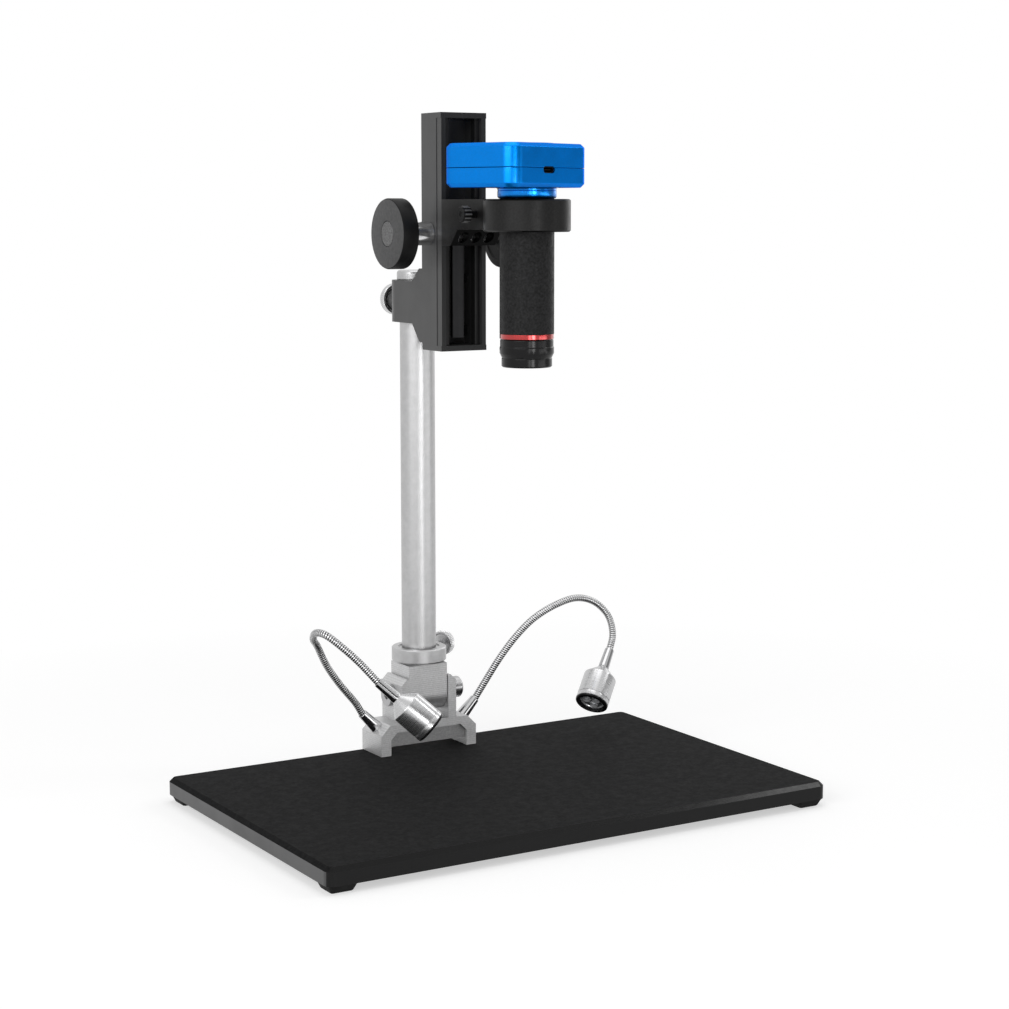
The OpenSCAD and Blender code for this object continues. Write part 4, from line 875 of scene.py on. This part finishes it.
# A shell's bevel and its edge at the seam, in mm: how far in from the side, and how far from the face
SHELL_BEVEL = [(2.9, 0), (2.3, 0), (1.86, 0.1), (0.12, 1.85), (0, 2.25)]
SHELL_SEAM = [(0, 0.42), (0.07, 0.2), (0.3, 0.07), (2.0, 0.07)]


def plan_ring(inset, height):
    """Points round the camera's plan, drawn in by inset."""
    r = CORNER_R - inset
    x, y = CAMERA_W / 2 - CORNER_R, CAMERA_D / 2 - CORNER_R
    middle = CAMERA_W / 2 - CAMERA_LEFT
    ring = []
    for quarter, (sx, sy) in enumerate(((1, 1), (-1, 1), (-1, -1), (1, -1))):
        for k in range(CORNER_STEPS + 1):
            turn = math.radians(90 * (quarter + k / CORNER_STEPS))
            ring.append((middle + sx * x + r * math.cos(turn), sy * y + r * math.sin(turn), height))
    return ring


def plan_loft(name, profile):
    """A closed form through plan rings at (inset, height) pairs."""
    bm = bmesh.new()
    loft(bm, [[bm.verts.new(p) for p in plan_ring(inset, height)] for inset, height in profile])
    return to_mesh(name, bm)


def shell_profile(face):
    """Pairs of inset and height from a shell's level face over its side to the seam, and on to the cavity."""
    way = 1 if CAMERA_SEAM > face else -1
    side = [(inset * MM, face + way * h * MM) for inset, h in SHELL_BEVEL]
    edge = [(inset * MM, CAMERA_SEAM - way * h * MM) for inset, h in SHELL_SEAM]
    return [*side, *edge, (SHELL_WALL, face + way * SHELL_WALL)]


def port_cutter():
    """A bar with round ends through the camera's front wall."""
    bm = bmesh.new()
    r, half = PORT_H / 2, (PORT_W - PORT_H) / 2
    outline = []
    for side in (1, -1):
        for k in range(PORT_STEPS + 1):
            turn = math.radians(180 * k / PORT_STEPS - 90 * side)
            outline.append((PORT_X + side * half + r * math.cos(turn), PORT_Z + r * math.sin(turn)))
    near, far = -CAMERA_D / 2 - 1.0 * MM, -CAMERA_D / 2 + 4.0 * MM
    loft(bm, [[bm.verts.new((x, y, z)) for x, z in outline] for y in (near, far)])
    return to_mesh("port", bm)


def without(mesh, cutter_mesh):
    """The mesh less the cutter's form."""
    holder, cutter = placed("holder", mesh), placed("cutter", cutter_mesh)
    finish_mesh(mesh, 30)
    cut = holder.modifiers.new("port", "BOOLEAN")
    cut.operation, cut.solver, cut.object = "DIFFERENCE", "EXACT", cutter
    result = applied(holder)
    bpy.data.objects.remove(cutter)
    finish_mesh(result, 30)
    holder = placed("holder", result)
    weigh_normals(holder)
    return applied(holder)


def build_camera_housing():
    """Two milled and anodised shells with a fine groove between them, cut through for the data socket."""
    place = Matrix.Translation(LENS) @ Matrix.Rotation(CAMERA_TURN, 4, "Z")
    recess = (SHELL_BEVEL[0][0] * MM, CAMERA_LOW + SHELL_WALL)
    lower = plan_loft("lower_shell", [recess, *shell_profile(CAMERA_LOW)])
    upper = plan_loft("upper_shell", shell_profile(CAMERA_TOP)[::-1])
    for name, mesh, node in (("lower_shell_milled", lower, "camera_lower_shell"),
                             ("upper_shell_milled", upper, "camera_upper_shell")):
        mesh = without(mesh, port_cutter())
        mesh.transform(place)
        add_piece(name, mesh, "blue", BODY_OF[node], "camera_blue", node)
    r, top = BOSS_R, CAMERA_TOP
    boss = [(0, top - 0.3 * MM), (r + 0.6 * MM, top - 0.3 * MM), (r + 0.6 * MM, top + 0.05 * MM),
            (r + 0.1 * MM, top + 0.52 * MM), (r - 0.2 * MM, top + 0.6 * MM), (r - 1.6 * MM, top + 0.6 * MM),
            (r - 1.9 * MM, top + 0.35 * MM), (0, top + 0.35 * MM)]
    r, low, high, flare = MOUNT_R, MOUNT_TOP, MOUNT_TOP + 2.3 * MM, 16.6 * MM
    step = [(MOUNT_BORE_R, low), (r - 0.2 * MM, low), (r, low + 0.2 * MM), (r, low + 1.0 * MM),
            (flare, low + 1.55 * MM), (flare, high), (MOUNT_BORE_R, high), (MOUNT_BORE_R, low)]
    for name, outline in (("camera_boss", boss), ("camera_step", step)):
        turned_piece(name, outline, Matrix.Translation(LENS), 128, 30, "mount_blue",
                     BODY_OF["camera_upper_shell"], "camera_blue")


def build_mount_ring():
    """Blue ring under the camera with a broken lower edge and a set screw in its side."""
    r, low, top = MOUNT_R, MOUNT_LOW, MOUNT_TOP - 0.02 * MM
    outline = [(MOUNT_BORE_R, low), (r - 0.8 * MM, low), (r - 0.15 * MM, low + 0.55 * MM),
               (r, low + 0.9 * MM), (r, top - 0.23 * MM), (r - 0.2 * MM, top), (MOUNT_BORE_R, top),
               (MOUNT_BORE_R, low)]
    turned_piece("mount_ring_turned", outline, Matrix.Translation(LENS), 128, 26, "mount_blue",
                 BODY_OF["mount_ring"], "camera_blue", "mount_ring")
    screw_at = LENS + Vector((0, 0, SET_SCREW_Z)) + SET_SCREW_WAY * (r - 1.2 * MM)
    cup = in_mm([(0, 0.2), (0.55, 0.2), (0.6, 0.8), (1.0, 0.8), (1.05, 0.0)])
    turned_piece("mount_set_screw", cup, frame_along(SET_SCREW_WAY, screw_at), 24, 30, "nose",
                 BODY_OF["mount_ring"], "plastic_black")


def build_ring_screw():
    """Small grub screw on the lens ring's top."""
    outline = in_mm([(0, 0.1), (0.7, 0.1), (0.75, 0.42), (1.3, 0.42), (1.5, 0.25), (1.5, 0.0)])
    turned_piece("ring_grub_screw", outline, Matrix.Translation(RING_SCREW), 30, 30, "steel",
                 BODY_OF["lens_arm"], "steel")


# Plate and feet

FOOT_H = 4.5 * MM
FOOT_TOP = 16.0 * MM
FOOT_BOTTOM = 12.0 * MM
FOOT_INSET = 9.5 * MM
FOOT_CORNER = 1.3 * MM
FOOT_EDGE = 0.5 * MM
# How far a face's normal points up on the plate's sides and level faces, and sideways on its two ends
SIDE_RISE = 0.3
LEVEL_RISE = 0.9
END_SIDEWAYS = 0.9


def build_plate():
    """The plate: powder coat on top, bare milled sides, and painted light on its two ends, which are coloured
    paler as if lit.
    """
    plate = softened("base_plate", "plate", 0.25 * MM, "base_black")
    for finish in ("plate_side", "plate_lit_end", "plate_bevel"):
        plate.data.materials.append(MATERIALS[finish])
    for face in plate.data.polygons:
        x, y, z = (abs(v) for v in face.normal)
        if z < SIDE_RISE:
            # Faces that point sideways along X take the painted light of the ends
            face.material_index = 2 if x > END_SIDEWAYS else 1
        elif z < LEVEL_RISE and y > x:
            face.material_index = 3


def foot_ring(bm, x, y, side, z):
    """Ring of a square with round corners about (x, y), at a height of the foot."""
    half = side / 2
    square = [(0, -half), (half, -half), (half, half), (-half, half), (-half, -half), (0, -half)]
    return [bm.verts.new((x + dx, y + dy, z)) for dx, dy in rounded(square, FOOT_CORNER, 4)[:-1]]


def build_feet():
    """Four square rubber feet that narrow towards the floor, with a rounded lower edge."""
    bm = bmesh.new()
    low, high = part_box("base_plate")
    slope = (FOOT_TOP - FOOT_BOTTOM) / FOOT_H
    profile = [(FOOT_BOTTOM - 2 * FOOT_EDGE, 0.0), (FOOT_BOTTOM - 0.3 * FOOT_EDGE, 0.3 * FOOT_EDGE),
               (FOOT_BOTTOM + slope * FOOT_EDGE, FOOT_EDGE), (FOOT_TOP, FOOT_H)]
    for x in (low[0] + FOOT_INSET, high[0] - FOOT_INSET):
        for y in (low[1] + FOOT_INSET, high[1] - FOOT_INSET):
            loft(bm, [foot_ring(bm, x, y, side, z) for side, z in profile])
    mesh = to_mesh("feet", bm)
    finish_mesh(mesh, 40)
    add_piece("rubber_feet_moulded", mesh, "rubber", BODY_OF["rubber_feet"], "rubber", "rubber_feet")


# CAD nodes with broken edges: material, edge radius in mm, slot
DRESS = {
    "stand_bracket": ("bracket", 0.45, "bracket_silver"),
    "wiring_cover": ("cover", 0.2, "bracket_silver"),
    "tilt_bolt": ("steel", 0.4, "steel"),
    "tilt_nut": ("steel", 0.4, "steel"),
    "tilt_block": ("block", 0.6, "bracket_silver"),
    "pillar_collar": ("pillar", 0.5, "bracket_silver"),
    "pillar": ("pillar", 0.3, "pillar_silver"),
    "pillar_cap": ("pillar", 0.3, "pillar_silver"),
    "rail_clamp": ("rail", 0.5, "rail_black"),
    "rail_housing": ("rail", 0.3, "rail_black"),
    "rail_top_cap": ("rail", 0.4, "rail_black"),
    "rail_bottom_cap": ("rail", 0.4, "rail_black"),
    "shaft_sleeves": ("sleeve", 0.3, "chrome"),
    "lens_arm": ("arm", 0.5, "arm_black"),
    "carriage_slider": ("rail_inside", 0.2, "rail_black"),
    "lens_barrel": ("barrel", 0.3, "barrel_black"),
    "nose_ring": ("nose", 0.2, "barrel_black"),
    "accent_ring": ("red", 0.15, "accent_red"),
    "data_socket": ("nose", 0.05, "steel"),
    "knob_discs": ("disc", 0.25, "arm_black"),
}
# CAD nodes that keep their mesh and only get a better material
PLAIN = {
    "bracket_screws": "steel", "rail_screws": "nose", "cap_screws": "nose", "guide_strips": "rail_inside",
    "focus_shaft": "steel", "pinion": "steel", "focus_rack": "dark_steel", "arm_screws": "steel",
    "rear_lens": "glass", "front_lens": "glass", "camera_board": "board", "image_sensor": "sensor",
    "left_lamp_board": "board", "right_lamp_board": "board",
}


def dress_nodes():
    """Break the edges of the nodes in DRESS, and give those in PLAIN their material."""
    for node, (material, width, slot) in DRESS.items():
        softened(node, material, width * MM, slot)
    for node, material in PLAIN.items():
        mesh = frame["nodes"][node].data
        for k in range(len(mesh.materials)):
            mesh.materials[k] = MATERIALS[material]


# Stage, lights and camera

FLOOR_REACH = 12.0
FLOOR_TONE = (0.62, 0.62, 0.62, 1)
FLOOR_GLOW = 0.52
FLOOR_FADE_FROM = 0.26
FLOOR_FADE_TO = 0.55
WORLD_LIGHT = 0.30
STUDIO_MIDDLE = (0.0, 0.03, 0.20)
# Place, width, height and watts
LIGHTS = {
    "wide_left": ((-1.34, -0.71, 0.74), 1.45, 0.72, 12.0),
    "strip_view": ((-0.50, -1.46, 0.13), 0.24, 0.44, 1.35),
    "strip_front": ((-0.09, -1.53, 0.13), 0.30, 0.46, 3.9),
    "low_right": ((1.08, -1.04, 0.10), 1.40, 0.18, 1.8),
    "strip_right": ((1.39, 0.56, 0.62), 0.40, 0.75, 1.5),
    "fill_high": ((1.24, -0.48, 1.16), 0.36, 0.36, 2.3),
    "top": ((0.1, 0.2, 1.7), 1.30, 1.30, 8.0),
}
# Place, width, height and brightness
CARDS = {
    "card_front": ((0.78, -1.29, 0.58), 0.42, 0.76, 0.02),
    "card_over": ((-0.05, -1.56, 0.68), 1.60, 0.60, 0.10),
    "card_right": ((1.36, -0.50, 0.50), 1.10, 0.90, 0.42),
}


def direct_rays(tree):
    """1 for rays of the camera, of reflections and through glass."""
    rays = tree.nodes.new("ShaderNodeLightPath")
    total = rays.outputs["Is Camera Ray"]
    for name in ("Is Glossy Ray", "Is Transmission Ray"):
        total = calculated(tree, "MAXIMUM", total, rays.outputs[name])
    return total


def white(tree, kind, strength):
    """White light of a strength, from a surface or from the world."""
    node = tree.nodes.new(kind)
    node.inputs["Color"].default_value = (1, 1, 1, 1)
    node.inputs["Strength"].default_value = strength
    return node.outputs[0]


def either(tree, fac, first, second):
    """The first shader where fac is 0, the second where it is 1."""
    node = tree.nodes.new("ShaderNodeMixShader")
    feed(tree, node.inputs, (fac, first, second))
    return node.outputs[0]


def floor_fade(tree):
    """A number that grows from 0 near the object to 1 away from it."""
    away = tree.nodes.new("ShaderNodeVectorMath")
    away.operation = "LENGTH"
    tree.links.new(tree.nodes.new("ShaderNodeTexCoord").outputs["Object"], away.inputs[0])
    fade = tree.nodes.new("ShaderNodeMapRange")
    fade.inputs["From Min"].default_value = FLOOR_FADE_FROM
    fade.inputs["From Max"].default_value = FLOOR_FADE_TO
    tree.links.new(away.outputs["Value"], fade.inputs["Value"])
    return fade.outputs["Result"]


def stage_sheet(name, width, height):
    """A flat sheet of the studio with an empty material."""
    x, y = width / 2, height / 2
    mesh = bpy.data.meshes.new(name)
    mesh.from_pydata([(-x, -y, 0), (x, -y, 0), (x, y, 0), (-x, y, 0)], [], [(0, 1, 2, 3)])
    material = bpy.data.materials.new(name)
    material.use_nodes = True
    material.node_tree.nodes.clear()
    mesh.materials.append(material)
    return placed(name, mesh), material.node_tree


def build_floor():
    """Pale floor that holds the shadow and fades into the white background."""
    floor, tree = stage_sheet("floor", 2 * FLOOR_REACH, 2 * FLOOR_REACH)
    paper = tree.nodes.new("ShaderNodeBsdfDiffuse")
    paper.inputs["Color"].default_value = FLOOR_TONE
    bright = tree.nodes.new("ShaderNodeAddShader")
    feed(tree, bright.inputs, (paper.outputs[0], white(tree, "ShaderNodeEmission", FLOOR_GLOW)))
    seen = direct_rays(tree)
    near = either(tree, seen, paper.outputs[0], bright.outputs[0])
    far = white(tree, "ShaderNodeEmission", 1.0)
    surface = either(tree, calculated(tree, "MULTIPLY", floor_fade(tree), seen), near, far)
    tree.links.new(surface, tree.nodes.new("ShaderNodeOutputMaterial").inputs["Surface"])


def build_world():
    """White where it is seen, and a soft light on the object."""
    world = bpy.data.worlds.new("studio")
    bpy.context.scene.world = world
    world.use_nodes = True
    tree = world.node_tree
    tree.nodes.clear()
    soft = white(tree, "ShaderNodeBackground", WORLD_LIGHT)
    surface = either(tree, direct_rays(tree), soft, white(tree, "ShaderNodeBackground", 1.0))
    tree.links.new(surface, tree.nodes.new("ShaderNodeOutputWorld").inputs["Surface"])


def softbox(name, at, width, height, power):
    """A rectangular lamp that faces the middle of the object."""
    light = bpy.data.lights.new(name, "AREA")
    light.shape = "RECTANGLE"
    light.size, light.size_y = width, height
    light.energy = power
    placed(name, light).matrix_world = frame_along(Vector(at) - Vector(STUDIO_MIDDLE), at)


def card(name, at, width, height, brightness):
    """A grey card of the studio that only shows in reflections."""
    panel, tree = stage_sheet(name, width, height)
    panel.matrix_world = frame_along(Vector(STUDIO_MIDDLE) - Vector(at), at)
    panel.visible_camera = panel.visible_diffuse = panel.visible_shadow = panel.visible_transmission = False
    glow = white(tree, "ShaderNodeEmission", brightness)
    tree.links.new(glow, tree.nodes.new("ShaderNodeOutputMaterial").inputs["Surface"])


def build_lights():
    for name, row in LIGHTS.items():
        softbox(name, *row)
    for name, row in CARDS.items():
        card(name, *row)


def build_camera():
    """The reference view's camera. Its sensor's width is the image's width."""
    camera = bpy.data.cameras.new("view")
    camera.sensor_fit = "HORIZONTAL"
    camera.sensor_width = SENSOR_MM
    camera.lens = FOCAL_MM
    camera.clip_start, camera.clip_end = 0.05, 30.0
    view = placed("view", camera)
    level = math.cos(LOOK_DOWN)
    way = Vector((math.sin(LOOK_TURN) * level, math.cos(LOOK_TURN) * level, -math.sin(LOOK_DOWN)))
    view.matrix_world = frame_along(-way, EYE)
    bpy.context.scene.camera = view
    bpy.context.scene.view_settings.view_transform = "Standard"


build_camera()
build_world()
build_lights()
build_floor()
dress_nodes()
build_plate()
build_feet()
for lamp_side in SIDE_NAME:
    build_lamp(lamp_side)
    build_focus_knob(lamp_side)
build_thumbscrews()
build_camera_housing()
build_mount_ring()
build_ring_screw()
